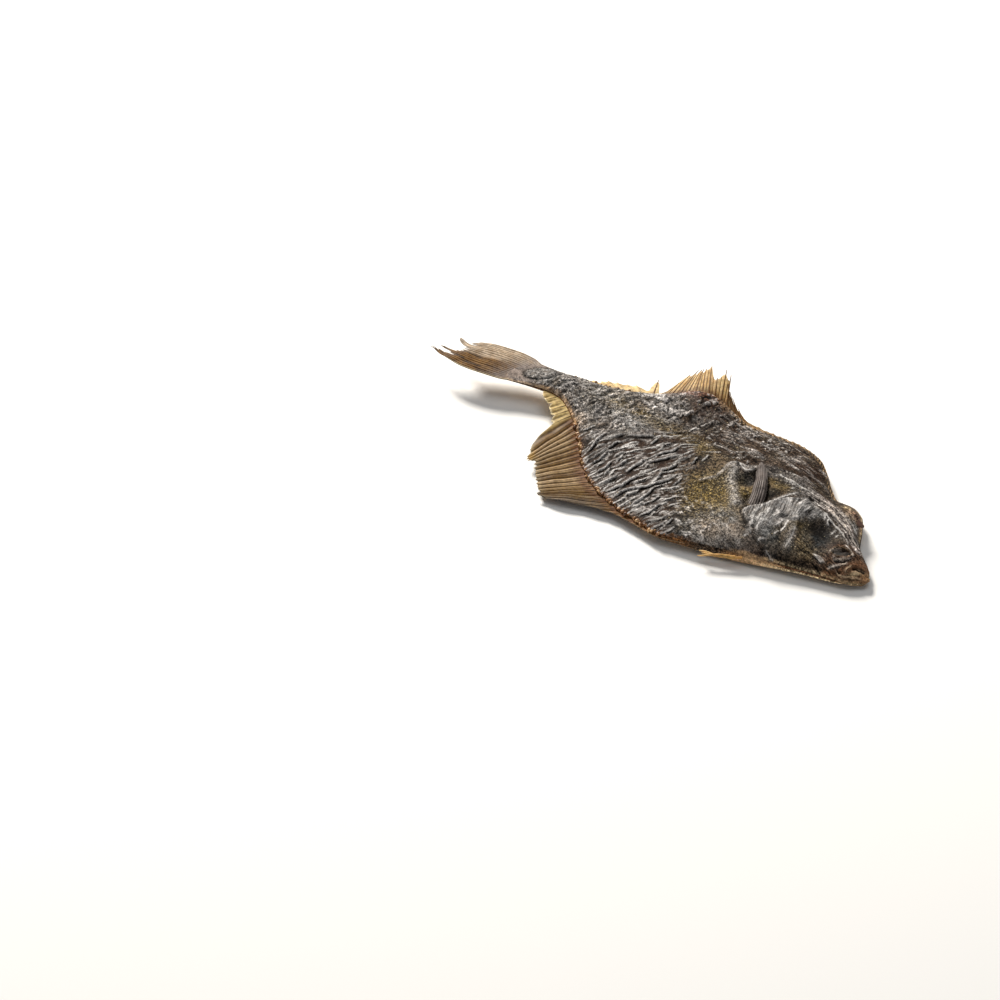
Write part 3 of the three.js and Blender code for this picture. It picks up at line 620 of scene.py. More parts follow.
# creases of the head: tone, a painted highlight above 0 and painted shade below, half width of the soft band beside the
# line, then s and y
headLines = [
    (0.8, 0.2, 55.5, 12.7, 49.2, 13.4, 42.3, 14.2, 36.2, 14.4, 29.8, 13.9, 22.9, 12.6, 16.5, 10.8),
    (0.85, 0.2, 37.5, 10.6, 32.6, 11.7, 25.8, 10.8, 20, 9.2, 13.9, 7.4, 9.4, 5.4),
    (0.7, 0.2, 28.8, 9, 22.9, 7.4, 17.3, 6.2, 12.4, 4),
    (-0.8, 0.3, 48, 12.2, 41, 13, 35.5, 13.3, 29.5, 12.6, 22.6, 11.3, 17, 9.7),
    (-0.9, 0.6, 38.9, 11.6, 35.8, 12.2, 32.1, 12.2, 27.8, 10.6),
    (0.9, 0.5, 69.5, 8.1, 67.5, 7, 65.9, 6.9, 64.7, 7.3, 63, 9.6),
    (0.8, 0.5, 44.9, -5.1, 44.2, -2.8, 44.9, 0.6, 44.5, 2.8, 44.1, 5, 43.6, 7.1, 42.5, 10.1),
    (1, 0.8, 44.2, -10.5, 44.8, -8.3, 44.9, -6.6, 45, -5.6),
    (0.95, 1, 39.4, -17.3, 40.3, -17, 41.2, -15.9, 42.5, -13.7, 44.1, -11.1),
    (0.9, 0.4, 40, -18.5, 40.6, -19.7),
    (0.9, 0.6, 38.4, -16.2, 39, -14.9, 39.8, -13.3, 40.5, -12, 41.2, -10.8, 41.8, -9.3, 42.3, -8.1),
    (0.85, 0.6, 39.6, -11.7, 40.1, -10.2, 40.7, -8.8, 41.3, -7.3, 42, -5.9, 42.6, -4.4),
    (0.8, 0.5, 38.6, -7.2, 38.8, -5.9, 38.6, -4.6, 38.1, -3.6),
    (0.8, 0.8, 35.1, -9.2, 35.2, -7.6, 35.2, -6.2, 35, -4.8),
    (1, 0.6, 32, -10, 32.2, -8.7, 32.7, -7.3, 33.2, -5.9, 33.5, -4.8, 33.7, -3.7, 33.3, -2.5, 32.9, -1.4, 32.5, 0.3),
    (0.6, 0.3, 32.8, -9.6, 33, -8.2, 33.2, -7.2),
    (0.7, 0.4, 32.9, -12.5, 33, -11.4, 32.8, -10.2),
    (0.55, 1, 26.3, -13.9, 26.8, -12.4, 26.9, -10.8, 27.7, -9.2, 28.5, -7.6, 29.4, -6.2, 30.1, -4.9),
    (0.6, 0.8, 37.5, -2.1, 37, -0.6, 36.8, 0.7),
    (0.7, 0.5, 35.1, -18.5, 35, -18.4, 34.9, -17.8, 34.3, -16.1),
    (0.85, 0.4, 33.3, 3.3, 33.4, 5.5, 33.5, 7.1),
    (0.6, 0.4, 30.6, -18.9, 29.5, -19, 28.3, -19.2, 26.9, -19.1),
    (1, 0.8, 39.8, -4.1, 39.7, -3.2),
    (0.9, 0.5, 54.6, 11.1, 54.4, 11.7),
    (0.9, 0.5, 53.8, 12.9, 53.8, 13.6),
    (0.9, 0.5, 45.6, 10.3, 45.5, 11.1),
    (0.7, 0.5, 50.3, 11.8, 48.4, 12.3, 46.3, 12.7, 44.3, 12.6),
    (0.8, 0.5, 36.4, 12, 34.7, 12.2, 33, 11.9),
    (0.9, 0.5, 34.6, 13.2, 32.5, 13, 30.4, 12.7, 28.5, 12.2, 26.6, 11.7, 25.3, 11.3),
    (1, 0.6, 25.2, 10.1, 23.5, 9.9, 21.5, 9.8, 20, 9.6, 18.6, 9.7, 18.1, 10.3),
    (0.8, 0.4, 18.7, 8.7, 17.1, 8.6, 16, 8.4),
    (0.5, 0.8, 18.9, 6.4, 16.9, 5.8, 14.9, 5.1, 13, 4.7),
    (0.8, 0.4, 12.9, 3, 11.6, 2.6, 9.6, 2, 8.6, 1.6, 7.5, 0.7),
    (0.6, 0.4, 13.6, 6.3, 11.4, 6.7, 9.7, 6.4),
    (0.7, 0.4, 26.6, 6.5, 28.1, 9.1),
    (1, 0.5, 23.7, 5.9, 24.9, 6.5, 25.5, 7.6),
    (1, 0.5, 20.4, 3.7, 20.4, 4.5, 20.4, 5.6),
    (0.8, 0.4, 21.1, 6.7, 20.2, 6.6),
    (0.7, 0.4, 18.1, 3.5, 18.2, 4.7),
    (-0.9, 0.4, 33.5, -3.8, 33.1, -3.2, 32.6, -2.2),
    (-0.9, 0.4, 30.3, -19.1, 29.1, -19.3, 27.7, -19.3, 26.7, -19.2),
    (-0.9, 0.5, 37.4, 10.4, 36.3, 11.4, 34.4, 11.4, 32.8, 11.2, 30.6, 10.9),
    (-0.9, 0.5, 26.4, 9.9, 24.1, 9.5, 22.8, 9.7, 20.3, 9, 18.3, 8.3, 16.8, 7.6),
    (-0.7, 0.5, 42.7, -11.2, 44, -8.6, 44.4, -6.9),
    (-0.8, 0.4, 39.5, -16, 40.8, -14.7),
    (-0.8, 0.4, 42.5, -15.8, 43.3, -14.1),
    (-0.8, 0.4, 36.1, -5.2, 36.1, -3.6, 35.7, -2.5),
    (-0.7, 0.3, 32.7, -10.2, 33, -8.4, 33.2, -7.2),
    (-0.95, 0.6, 53.2, 5.6, 50.8, 2.8, 48.4, 0.3, 46.9, -1.9),
    (-0.9, 0.6, 62.5, 9.2, 61, 7.4, 59.2, 5.5),
    (-0.8, 0.5, 54.4, -2.3, 53.8, -4.3, 52.5, -6.7, 51.8, -9),
    (0.5, 0.4, 14.4, -4.2, 14.4, -3.2, 13.9, -2.2, 13.3, -1.4, 12.4, -0.2),
    (0.75, 0.5, 12.5, -4.3, 11.3, -5, 10.5, -4.8, 9.3, -3.6, 8.5, -2.4, 8.1, -1.2, 7.7, -0.1),
    (-0.95, 0.4, 10.8, -5.5, 9.9, -4.9, 8.8, -4.1, 8.2, -3.2, 7.7, -1.7, 7.5, -0.3),
    (-0.9, 0.4, 13.5, -3.6, 13.3, -2.3, 12.5, -1.2, 11.2, 0),
    (0.85, 0.4, 10.3, -9, 10.2, -8.1, 9.4, -6.9, 8.5, -5.9, 7.9, -4.5, 7.4, -3.1, 7.3, -2.1),
    (0.9, 0.4, 5.3, -5.7, 5.6, -4.6, 5.7, -3.6, 5.6, -2.4),
    (-1, 0.6, 4.7, -3, 3.6, -1.7, 2.8, -0.8, 1.9, -0.1, 1.3, 0.5),
    (0.6, 0.4, 3.4, -1.1, 2.6, -0.4, 1.8, 0.4, 1.4, 1.1),
    (1, 0.6, 3.4, -4.4, 3, -3.5, 2.5, -2.1),
    (0.85, 0.4, 7.7, -7.6, 6.6, -7.8, 5.5, -7.5, 4.3, -6.7, 3.4, -5.7, 2.5, -5.1, 1.3, -3.7, 0.2, -2.4),
    (-0.9, 0.4, 7.5, -7.1, 6.2, -7.2),
    (-1, 0.5, 8.2, -5.9, 7.8, -6.2),
    (-0.7, 0.4, 4.5, -6, 3.6, -5, 2.3, -3.3, 1.1, -1.9),
    (-0.6, 0.4, 4.9, -7.6, 3.2, -6.3, 1.4, -4.6),
    (0.7, 0.3, 17.7, -8.3, 16.5, -8.5, 15.3, -8.7, 14.2, -8.9, 13.1, -8.5),
    (0.5, 0.3, 16.2, -7.8, 14.7, -7.9, 12.9, -8.3),
    (-0.7, 0.4, 16.4, -9.1, 14.9, -9.2, 13.2, -9.4),
    (0.7, 0.4, 20, 14.9, 18.8, 14.3, 17.5, 14),
    (0.7, 0.5, 21.7, 13.4, 19.8, 13.2, 17.6, 12.8, 16, 11.9),
]
# short light folds and flecks of bone on the back: from, to, half width
strokes = [
    ((90.6, 13.4), (88.4, 13.4), 0.6), ((85.8, 12.8), (84.6, 11.2), 0.5), ((79.6, 26.6), (78.6, 29), 0.5),
    ((75.2, 27.2), (74, 25.8), 0.5), ((72.6, 25), (71.4, 28), 0.4), ((70.8, 31), (69, 33.6), 0.5),
    ((65, 28.4), (63.6, 27.2), 0.6), ((97.8, 12.6), (96.4, 15.4), 0.5), ((116, 8.8), (114.4, 9.8), 0.5),
    ((52.6, -24), (51.4, -26), 0.6), ((84, 4), (79.4, 9.6), 0.4),
]


# soft oval patches of the eyed side: strength, middle in s and y, and half sizes along and across
skinSpots = {
    "height": [
        (1.1, 11.4, -0.8, 4.5, 3.6), (2.2, 22, 18.5, 6, 4.5), (-2.0, 24.5, 1.5, 6, 4.2), (-0.9, 18.5, -1.6, 3.4, 3),
        (-2.2, 60.5, 3.6, 4, 5), (-1.4, 54, -4.6, 3.2, 3.6), (-1.2, 69, -14, 12, 11), (-0.8, 100, 14, 14, 8),
        (0.7, 50, -25, 9, 5),
    ],
    "shadow": [
        (0.55, 61, 4, 3, 3), (0.95, 52.6, -5.6, 2, 2.6), (0.95, 47.6, 1.6, 2.2, 3.6), (0.9, 24.4, 1.2, 5.4, 4.4),
    ],
    "tan": [
        (0.5, 20.5, 16.4, 4.8, 2.6), (0.35, 101, 33, 5, 3), (0.4, 52, -25.5, 5, 4), (0.25, 44, -21, 4, 3),
        (0.4, 134, -13, 5, 3), (0.7, 1, -6, 3, 2.8), (0.5, -0.5, 0.5, 2.4, 3),
    ],
    "dull": [(0.7, 71, -32, 6, 4), (0.7, 112, -20, 5, 11), (0.7, 84, -6, 5, 4), (0.5, 85, 19, 5, 4)],
    # the dim patch along the belly's edge, at 75 and -34, is painted shade; the others are a darker tone
    "dim": [
        (0.4, 17, -6, 6, 4), (0.8, 23, 7, 8, 4.5), (0.3, 23, -14, 6, 4), (0.8, 75, -34, 12, 5), (0.9, 103, 9, 15, 9),
        (0.4, 85, 19, 5, 4),
    ],
    "olive": [
        (1.1, 66, -12, 11, 12), (0.5, 54, -16, 5, 5), (0.8, 129, 4, 9, 5), (0.9, 112, 7, 9, 4), (0.9, 93, 7, 11, 4.5),
        (0.8, 56.6, -2.6, 3.4, 3), (0.7, 50, 9, 6, 3.4), (0.45, 31, -3, 4, 6), (0.3, 22, -9, 7, 4),
    ],
    "purple": [(1, 104, 27, 13, 8), (1, 33, -23, 6, 3), (0.5, 50, 24, 9, 6)],
    "slate": [
        (1, 23, 0, 7, 6), (1, 60, -31, 8, 5), (1, 61.5, 4, 4, 3.4), (0.3, 46, -29, 5, 2), (0.8, 59, -23, 3.6, 3),
        (0.9, 34, -14, 6, 5), (0.8, 17, -5, 5, 4),
    ],
    "bloom": [
        (0.7, 146, -2, 16, 20), (0.6, 160, 0, 8, 8), (0.8, 122, -2, 9, 6), (1.1, 52, -25, 10, 6),
        (0.8, 53, -17, 6, 5.5), (1.2, 20.4, 15.4, 5, 3), (1, 43.5, -21.5, 5, 3.5), (1, 51, -28, 6, 4),
        (1, 112, 0, 7, 5), (1, 135, 3, 5, 4), (0.5, 32, 2, 3, 4), (0.5, 135, -10, 6, 4), (0.8, 41, 10, 5, 2.5),
        (0.6, 11, 9, 4, 2.5), (0.5, 128, 9, 6, 4), (0.5, 37, -12, 4, 4),
    ],
}


def spots(kind, s, y):
    return sum(strength * patch(s, y, *oval) for strength, *oval in skinSpots[kind])


def eyedRelief(s, y):  # height of the eyed side's relief, and the marks that its colours follow
    marks = {}
    crest, dark = np.zeros_like(s), np.zeros_like(s)
    creaseAway, creaseTone = np.full(s.shape, bodyMake["noCrease"]), np.zeros_like(s)

    # crest gathers painted highlight on crests and lit slopes, with light flecks and plates; dark gathers painted shade
    # in folds, creases, sockets and beside raised edges, with dark cracks
    def lighten(amount):
        nonlocal crest
        crest = np.maximum(crest, amount)

    def darken(amount):
        nonlocal dark
        dark = np.maximum(dark, amount)

    def drawLine(gap, side, tone, there=True):  # keeps the nearest crease: how far off it is, and its tone
        nonlocal creaseAway, creaseTone
        nearer = (gap < np.abs(creaseAway)) & there
        creaseAway = np.where(nearer, gap * side, creaseAway)
        creaseTone = np.where(nearer, tone, creaseTone)

    wander = 0.8 * noise(s / 6, y / 6, 11)
    shiver = rough(s / 2.6, y / 2.6, 10, 2)
    fuzz = rough(s / 1.3, y / 1.3, 9, 2)
    uneven = 0.75 + 0.5 * noise(s / 3.5, y / 3.5, 18)
    height = spots("height", s, y)
    for strength, *oval in skinSpots["shadow"]:
        darken(strength * patch(s, y, *oval))

    # ropes of the brow, from the nape to the snout
    gap, side, share = beside(browPath, s + 0.4 * wander, y + 0.5 * wander)
    half = 4.6 - 2.2 * smooth(share, 0, 0.55)
    brow = (1 - smooth(gap / half, 0.55, 1.2)) * smooth(share, 0, 0.12)
    aside = gap * side
    rope = np.maximum(crests(aside / 1.7 + 7, share * 4, 12, 0.2), 0.8 * crests(aside / 1.1, share * 6, 15, 0.22))
    height += 1.2 * bell(gap, 0, 2.4) * smooth(share, 0.3, 0.6) + 0.5 * brow * (rope - 0.35)
    # painted highlight on the ropes and painted shade between them
    lighten(0.65 * brow * rope * (0.8 + 0.3 * fuzz) * (0.35 + 0.65 * smooth(share, 0.25, 0.5)))
    darken(1.4 * brow * (1 - rope) ** 1.5)
    strands = brow * smooth(share, 0.3, 0.55)
    flows = [(brow, aside, 62 * share)]  # where skin is brushed: strength, then millimetres across and along

    # ridges of the shoulder girdle
    gap, _, _ = beside(spinePath, s + wander, y + wander)
    height += 0.9 * bell(gap, 0, 4)
    gap, _, _ = beside(ridgePath, s + 0.4 * wander + 0.3 * shiver, y + 0.4 * wander)
    height += 0.7 * bell(gap, 0, 1.8) * (1 + 0.5 * shiver)
    # painted highlight along the ridge
    lighten(0.7 * bell(gap, 0, 0.7) * (0.6 + 0.6 * shiver))
    gap, _, _ = beside(ribPath, s + 0.5 * wander, y + 0.5 * wander)
    height += 0.9 * bell(gap, 0, 2.2) * (1 + 0.4 * shiver)
    rib = bell(gap, 0, 2.0)
    # painted highlight along the rib
    lighten(0.5 * rib * (0.6 + 0.5 * fuzz))

    # gill cover: a free edge down to the jaw, with brushed folds that arch forward from it
    ahead = gillEdge(y) - s + 0.35 * wander + 0.2 * shiver
    overGill = plateau(y, -20.5, -18.5, 8, 11)
    cover = overGill * smooth(ahead, -0.5, 0.6) * np.exp(-np.maximum(ahead, 0) / 16)
    height += bodyMake["gillStep"] * cover
    across = s - (0.1 + 0.5 * smooth(s, 34, 46)) * (y + 6) + 0.9 * noise(s / 7, y / 8, 13)
    streak = np.maximum(crests(across, y / 13, 14, 0.14), 0.8 * crests(across / 0.7 + 5, y / 9, 17, 0.18))
    folds = overGill * plateau(ahead, -0.3, 0.8, 8, 15) * (0.35 + 0.65 * smooth(y, -15, -8))
    height += folds * 0.14 * (streak - 0.35)
    # painted highlight on the streaks and painted shade between them
    lighten(0.25 * folds * streak * (0.8 + 0.3 * fuzz))
    darken(0.6 * folds * (1 - streak) ** 2)
    flows.append((0.85 * folds, across, y))
    # a painted highlight along the gill cover's edge and a painted shadow just behind it
    lighten(0.4 * plateau(y, -17, -14, 7, 10) * bell(ahead, 0.7, 0.5) * (0.6 + 0.5 * shiver))
    darken(0.95 * overGill * bell(ahead, -0.9, 0.8) * (1 - 0.5 * smooth(y, -16, -12)))
    gap, _, _ = beside(preoperclePath, s + wander, y)
    height += 0.8 * bell(gap, 0, 1.8)
    bloomGill = 0.5 * bell(gap, 0, 1.5) + overGill * plateau(ahead, -1, 1, 9, 15) * smooth(y, -17, -11)
    gap, _, _ = beside(jawPath, s + 0.4 * wander, y + 0.3 * shiver)
    height += 0.3 * bell(gap, 0, 0.8)
    flows.append((1 - smooth(gap, 2, 5), y + 0.3 * wander, s))

    # mouth: brown lips round the tongue's pale spot
    lips = (1 - smooth(s + 0.3 * y, 4.5, 8)) * (1 - smooth(np.abs(y + 2.5), 7, 10))
    lips = np.maximum(lips, 0.8 * (1 - smooth(beside(chinPath, s, y)[0], 1.5, 3.5)))
    tongue = bell(np.hypot((s - 2.7 + 0.42 * (y + 3.2)) / 0.62, (y + 3.2) / 1.9), 0, 0.95)
    marks["lip"] = np.maximum.reduce([lips, 0.5 * strands, 0.75 * patch(s, y, 9.5, -2.5, 6, 6)])

    # sockets of both eyes, and the dry rim of the head beside the upper one
    ring = eyeShare(s, y, **lowerEye) + 0.05 * shiver
    height += 0.5 * bell(ring, 1.2, 0.2) - 0.7 * (1 - smooth(ring, 0.7, 1.1)) + 0.3 * bell(ring, 1.75, 0.18)
    marks["lid"] = 0.25 * bell(ring, 1.12, 0.12)
    # painted shade in the socket
    darken(0.8 * (1 - smooth(ring, 0.8, 1.05)))
    ring = eyeShare(s, y, **upperEye) + 0.05 * shiver
    height += 0.3 * bell(ring, 1.25, 0.22)
    inside = y - backEdge(s)
    marks["red"] = 0.9 * patch(s, y, 19.4, 17.6, 4.4, 1.7)
    marks["tan"] = 0.6 * plateau(s, 13, 17, 26, 30) * smooth(inside, -2.2, -0.6) + spots("tan", s, y)
    marks["pale"] = np.maximum.reduce([
        tongue, 0.7 * patch(s, y, 26.4, 18.6, 1.6, 1.0),
        0.45 * plateau(s, 12, 16, 24, 28) * smooth(inside, -1.2, -0.4)])

    # single creases of the head
    tremble = 0.22 * noise(s / 1.5, y / 1.5, 16)
    nearS, nearY = s + 0.15 * shiver + tremble, y + 0.12 * fuzz - tremble
    for light, half, *flat in headLines:
        gap, side, share = beside(list(zip(flat[::2], flat[1::2])), nearS, nearY)
        line = abs(light) * plateau(share, -0.06, 0.12, 0.88, 1.06)
        # a raised crease gets a painted highlight and painted shade beside it, a sunk one painted shade
        if light > 0:
            height += 0.2 * line * bell(gap, 0, 0.25 + half)
            lighten(0.55 * line * uneven * bell(gap, 0, 0.15 + half))
            darken(0.5 * line * bell(gap, 0.9 + half, 0.4))
        else:
            height -= 0.7 * line * bell(gap, 0, 0.15 + half)
            darken(line * bell(gap, 0, 0.15 + half))
        drawLine(gap, side, np.sign(light) * line * uneven.clip(0, 1) * (1 - smooth(gap, 0.35, 0.7)))

    # folds of the flank: each rises to a crisp crest from the tail's side, then falls into a dark valley;
    # the lit slope and the crest get a painted highlight, the valley painted shade
    zone = smooth(s - 0.72 * y + 3 * wander, 82, 92) * (1 - smooth(s + 1.2 * y + 3 * wander, 99, 110))
    zone *= smooth(y, -41, -36)
    rise, fall = np.zeros_like(s), np.zeros_like(s)
    for tall, slope, light, *flat in flankFolds:
        gap, side, share = beside(list(zip(flat[::2], flat[1::2])), nearS, nearY)
        ends = plateau(share, -0.03, 0.25, 0.75, 1.03)
        ramp = (1 - gap / (1.4 * slope + 0.8)).clip(0)
        lit = np.where(side < 0, ramp**1.3, bell(gap, 0, 0.3))
        valley = np.where(side > 0, bell(gap, 0.8, 0.55), 0.5 * bell(gap, 1.4 * slope + 1, 0.7))
        rise = np.maximum(rise, tall * ends * lit)
        fall = np.maximum(fall, tall * ends * valley)
        # painted light on the slope that faces the lamp, brightest at the crest
        wearAndLight = np.where(side < 0, (1 - gap / (0.3 + 0.75 * slope)).clip(0) ** 2.2, lit)
        lighten(0.85 * light * uneven * ends * wearAndLight)
        darken(1.2 * ends * valley * (0.65 + 0.35 * light))
        drawLine(gap, side, light * ends * (1 - smooth(gap, 0.8, 1.3)))
    height += bodyMake["wrinkle"] * (0.72 * rise - 0.4 * fall)
    darken(0.8 * bell(beside(flankGroove, s, y)[0], 0, 1.2))
    # smaller folds between them, each with a painted highlight on its crest and painted shade on its steep side
    between = zone * (1 - 0.8 * smooth(np.maximum(rise, fall), 0.1, 0.4))
    bent = s + 0.7 * noise(s / 7, y / 8, 19) + 0.3 * noise(s / 2.2, y / 2.6, 20)
    lean, steep, crestAt = bodyMake["foldLean"], bodyMake["foldSteep"], bodyMake["foldCrest"]
    for pitch, seed in bodyMake["smallFolds"]:
        phase = folding(bent, y + 18, pitch, lean, seed)
        tall = between * smooth(noise((s - lean * y) / 4, y / 9, seed + 2), 0, 0.3)
        gap = (crestAt - phase) * pitch
        height += tall * bodyMake["wrinkle"] * (0.55 * foldRise(phase, steep) - 0.2)
        lighten(0.7 * tall * uneven * bell(gap, -0.1, 0.28))
        darken(0.85 * tall * (1 - smooth(phase, 0.04, 0.2)))
        drawLine(np.abs(gap), np.sign(gap), 0.9 * tall * (1 - smooth(np.abs(gap), 0.6, 1.0)), tall > 0.05)
    (pitch, seed), lean = bodyMake["finestFold"], bodyMake["finestLean"]
    phase = folding(s + 0.5 * noise(s / 3, y / 4, seed + 1) + 0.2 * shiver, y + 18, pitch, lean, seed)
    tall = zone * smooth(noise((s - lean * y) / 3, y / 7, seed + 2), 0.0, 0.3)
    gap = (crestAt - phase) * pitch
    height += 0.22 * tall * (foldRise(phase, steep) - 0.4)
    # painted shade on the steep sides of the finest folds
    darken(0.9 * tall * (1 - smooth(phase, 0.06, 0.26)))
    drawLine(np.abs(gap), np.sign(gap), 0.7 * tall * (1 - smooth(np.abs(gap), 0.25, 0.45)),
             (tall > 0.05) & (creaseTone < 0.2))
    # crossing creases with a painted highlight
    cross = crests((s + 0.9 * y) / 4.2, y / 6, 29, 0.08) * smooth(noise(s / 6, y / 6, 30), -0.1, 0.3)
    height += 0.3 * between * cross
    lighten(0.5 * between * cross)

    # crumpled skin: over the rear of the back, towards the tail and along the belly's edge, with a painted highlight
    # along the crumples' crests
    backRear = smooth(s, 84, 100) * plateau(y, -4, 4, 24, 34) * (1 - smooth(s, 134, 144))
    tailWard = smooth(s + 1.2 * y, 98, 108) * plateau(s, 100, 116, 154, 163)
    bellyRim = plateau(s, 60, 70, 120, 134) * (1 - smooth(y, -33, -26))
    fine = np.maximum.reduce([0.4 * backRear, 0.8 * tailWard, 0.9 * bellyRim]) * (1 - 0.6 * zone)
    warp = 1.3 * noise(s / 6, y / 6, 32)
    across, along = s + 0.42 * y + warp, y + warp
    turnOver = noise(across / 2.5, along / 6.5, 33)
    net = np.maximum(np.exp(-((np.abs(turnOver) / 0.1) ** 1.3)), 0.8 * crests((s - 0.3 * y) / 3.6, y / 4.6, 36, 0.1))
    net *= smooth(noise(s / 5, y / 5, 35), -0.5, 0.15)
    height += fine * bodyMake["fineWrinkle"] * (0.8 * net + 0.8 * turnOver - 0.3)
    lighten(0.55 * fine * net * uneven)
    darken(0.7 * fine * smooth(turnOver, 0.12, 0.45))
    flows.append((0.7 * fine, across, along))

    # streaks along the shoulder, each with a painted highlight
    shoulder = plateau(s, 34, 46, 90, 104) * plateau(y, 8, 13, 32, 37)
    lengthwise = y + 0.12 * s + 1.6 * noise(s / 14, y / 6, 38)
    streaks = crests(lengthwise / 2.4, s / 12, 39, 0.14) * smooth(noise(s / 8, y / 4, 40), -0.3, 0.3)
    height += shoulder * 0.4 * (streaks - 0.3)
    lighten(0.5 * shoulder * streaks * (0.7 + 0.4 * fuzz))
    flows.append((0.8 * shoulder, lengthwise, s))

    # torn flecks of skin over the back, light beside painted shade
    plates = plateau(s, 104, 110, 126, 133) * bell(y - 17 - 0.35 * (s - 118) + 1.5 * wander, 0, 6.5)
    flecked = (0.6 + 0.4 * smooth(s, 92, 102)) * plateau(s, 62, 72, 118, 136) * plateau(y, 6, 11, 30, 36)
    flecked = np.maximum(flecked, 0.7 * tailWard) * (1 - 0.7 * plates)
    torn = 0.8 * noise((s + 0.3 * y + wander) / 2.2, (y - 0.15 * s) / 5.5, 47) + 0.5 * noise(s / 1.1, y / 1.3, 48)
    torn *= 0.4 + 0.8 * smooth(noise(s / 8, y / 8, 49), -0.2, 0.35)
    fleck = flecked * smooth(torn, 0.22, 0.34)
    height += 0.4 * fleck + 0.4 * flecked * torn
    lighten(0.7 * fleck * (0.75 + 0.5 * fuzz))
    darken(flecked * smooth(-torn, 0.1, 0.28))

    # cracked grey plates below the back's rear edge
    edge, own = cells(s + wander + 0.5 * y, y + wander, *bodyMake["plateSize"], 31)
    plate = smooth(edge + 0.15 * shiver, 0.1, 0.5)
    height += plates * (0.6 * plate * (0.4 + own) - 0.2)
    lighten(0.85 * plates * plate * smooth(own, 0.3, 0.75) * (0.75 + 0.25 * fuzz))
    darken(plates * (1 - plate) * smooth(own + 0.4 * shiver, 0.1, 0.5))

    # each a light fold or fleck of bone, with painted shade beside it
    for start, end, half in strokes:
        gap, _, share = beside([start, end], s + 0.3 * wander + 0.15 * fuzz, y + 0.15 * fuzz)
        thin = half * (1 - 0.6 * np.abs(2 * share - 1) ** 2)
        height += 0.3 * bell(gap, 0, 1.1 * thin)
        lighten(0.95 * bell(gap, 0, 0.6 * thin) * (0.8 + 0.3 * fuzz))
        darken(0.55 * bell(gap, 1.6 * half, 0.6 * half))

    # oval of the tail's root
    ring = np.hypot((s - 159.4) / 5.8, (y - 0.8) / 4.9) + 0.05 * shiver
    root = smooth(s + 0.5 * shiver, 156, 161) * (1 - 0.5 * patch(s, y, 163, -7, 4, 3))
    marks["finRoot"] = smooth(ring, 1.08, 1.22) * root
    height += 0.25 * (1 - smooth(ring, 0.8, 1.05)) - 0.35 * bell(ring, 1.06, 0.08)
    darken(0.9 * bell(ring, 1.06, 0.08) * (0.55 + 0.45 * smooth(shiver, -0.4, 0.2)))

    # painted highlight and painted shade, quieter where the skin is dull
    hollow = patch(s, y, 59.5, -23, 4.5, 4)
    dull = spots("dull", s, y).clip(0, 1)
    # the painted highlight on the lips is laid in tan
    marks["tan"] = np.maximum(marks["tan"], 0.55 * crest * lips)
    marks["creaseAway"], marks["creaseTone"] = creaseAway, creaseTone * (1 - 0.5 * dull)
    marks["crest"] = np.clip(crest * (1 - 0.85 * lips) * (1 - dull), 0, 1)
    marks["valley"] = np.clip(dark, 0, 1) * (1 - 0.9 * marks["crest"]) * (1 - tongue)
    marks["even"] = np.maximum.reduce([
        0.5 * lips, tongue, 0.7 * marks["crest"], 0.85 * marks["finRoot"], 0.2 * (1 - smooth(s, 48, 62)), 0.6 * folds,
        0.4 * zone])
    # a darker tone over the back, nape, brow, flank and one spot of the belly, with painted shade along the belly's
    # edge from the dim patches
    back = plateau(s, 34, 44, 104, 116) * smooth(y + wander, 7, 13) * (1 - 0.7 * patch(s, y, 101, 33, 6, 4))
    nape = plateau(s, 26, 34, 50, 58) * smooth(y, 14, 18)
    marks["dim"] = np.clip(0.9 * back + 0.4 * nape + 0.3 * brow + zone + 0.5 * hollow + spots("dim", s, y), 0, 1)

    # rough grain of the whole skin, crumbs of salt at the belly, and the patches of the skin's tints
    height += bodyMake["grain"] * rough(s / 1.5, y / 1.5, 41, 3) + 0.25 * rough(s / 7, y / 7, 44, 2)
    blotch = plateau(s, 44, 54, 76, 84) * plateau(y, -36, -31, -20, -12)
    crumbs = 0.7 * noise(s / 3.2, y / 2.2, 66) + 0.5 * noise(s / 1.4, y / 1.2, 67)
    marks["crest"] = np.maximum(marks["crest"], 0.5 * blotch * (1 - 0.8 * hollow) * smooth(crumbs, 0.12, 0.4))
    marks["valley"] = np.maximum(marks["valley"], 0.75 * blotch * smooth(s, 50, 62) * smooth(-crumbs, 0.12, 0.4))
    height += 0.25 * blotch * crumbs
    patches = rough(s / 9, y / 9, 51, 3)
    olive = spots("olive", s, y)
    bloom = 1.2 * bloomGill + 0.9 * plates + 0.7 * rib + spots("bloom", s, y)
    bloom *= 1 - 0.85 * hollow - 0.5 * patch(s, y, 44.4, -9, 3, 3)
    bloom = np.maximum(bloom, 0.8 * (1 - smooth(ring, 0.8, 1.0)))
    tints = {
        "olive": olive + 0.2 * patches,
        "speck": 0.15 + 0.75 * olive + 0.35 * patches - 0.35 * bloomGill - lips,
        "purple": spots("purple", s, y) + 0.8 * zone + 0.15 * patches,
        "slate": spots("slate", s, y) + 0.2 * patches,
        "bloom": bloom * (0.75 + 0.5 * shiver) + 0.15 * patches,
    }
    marks.update({name: np.clip(amount, 0, 1) for name, amount in tints.items()})

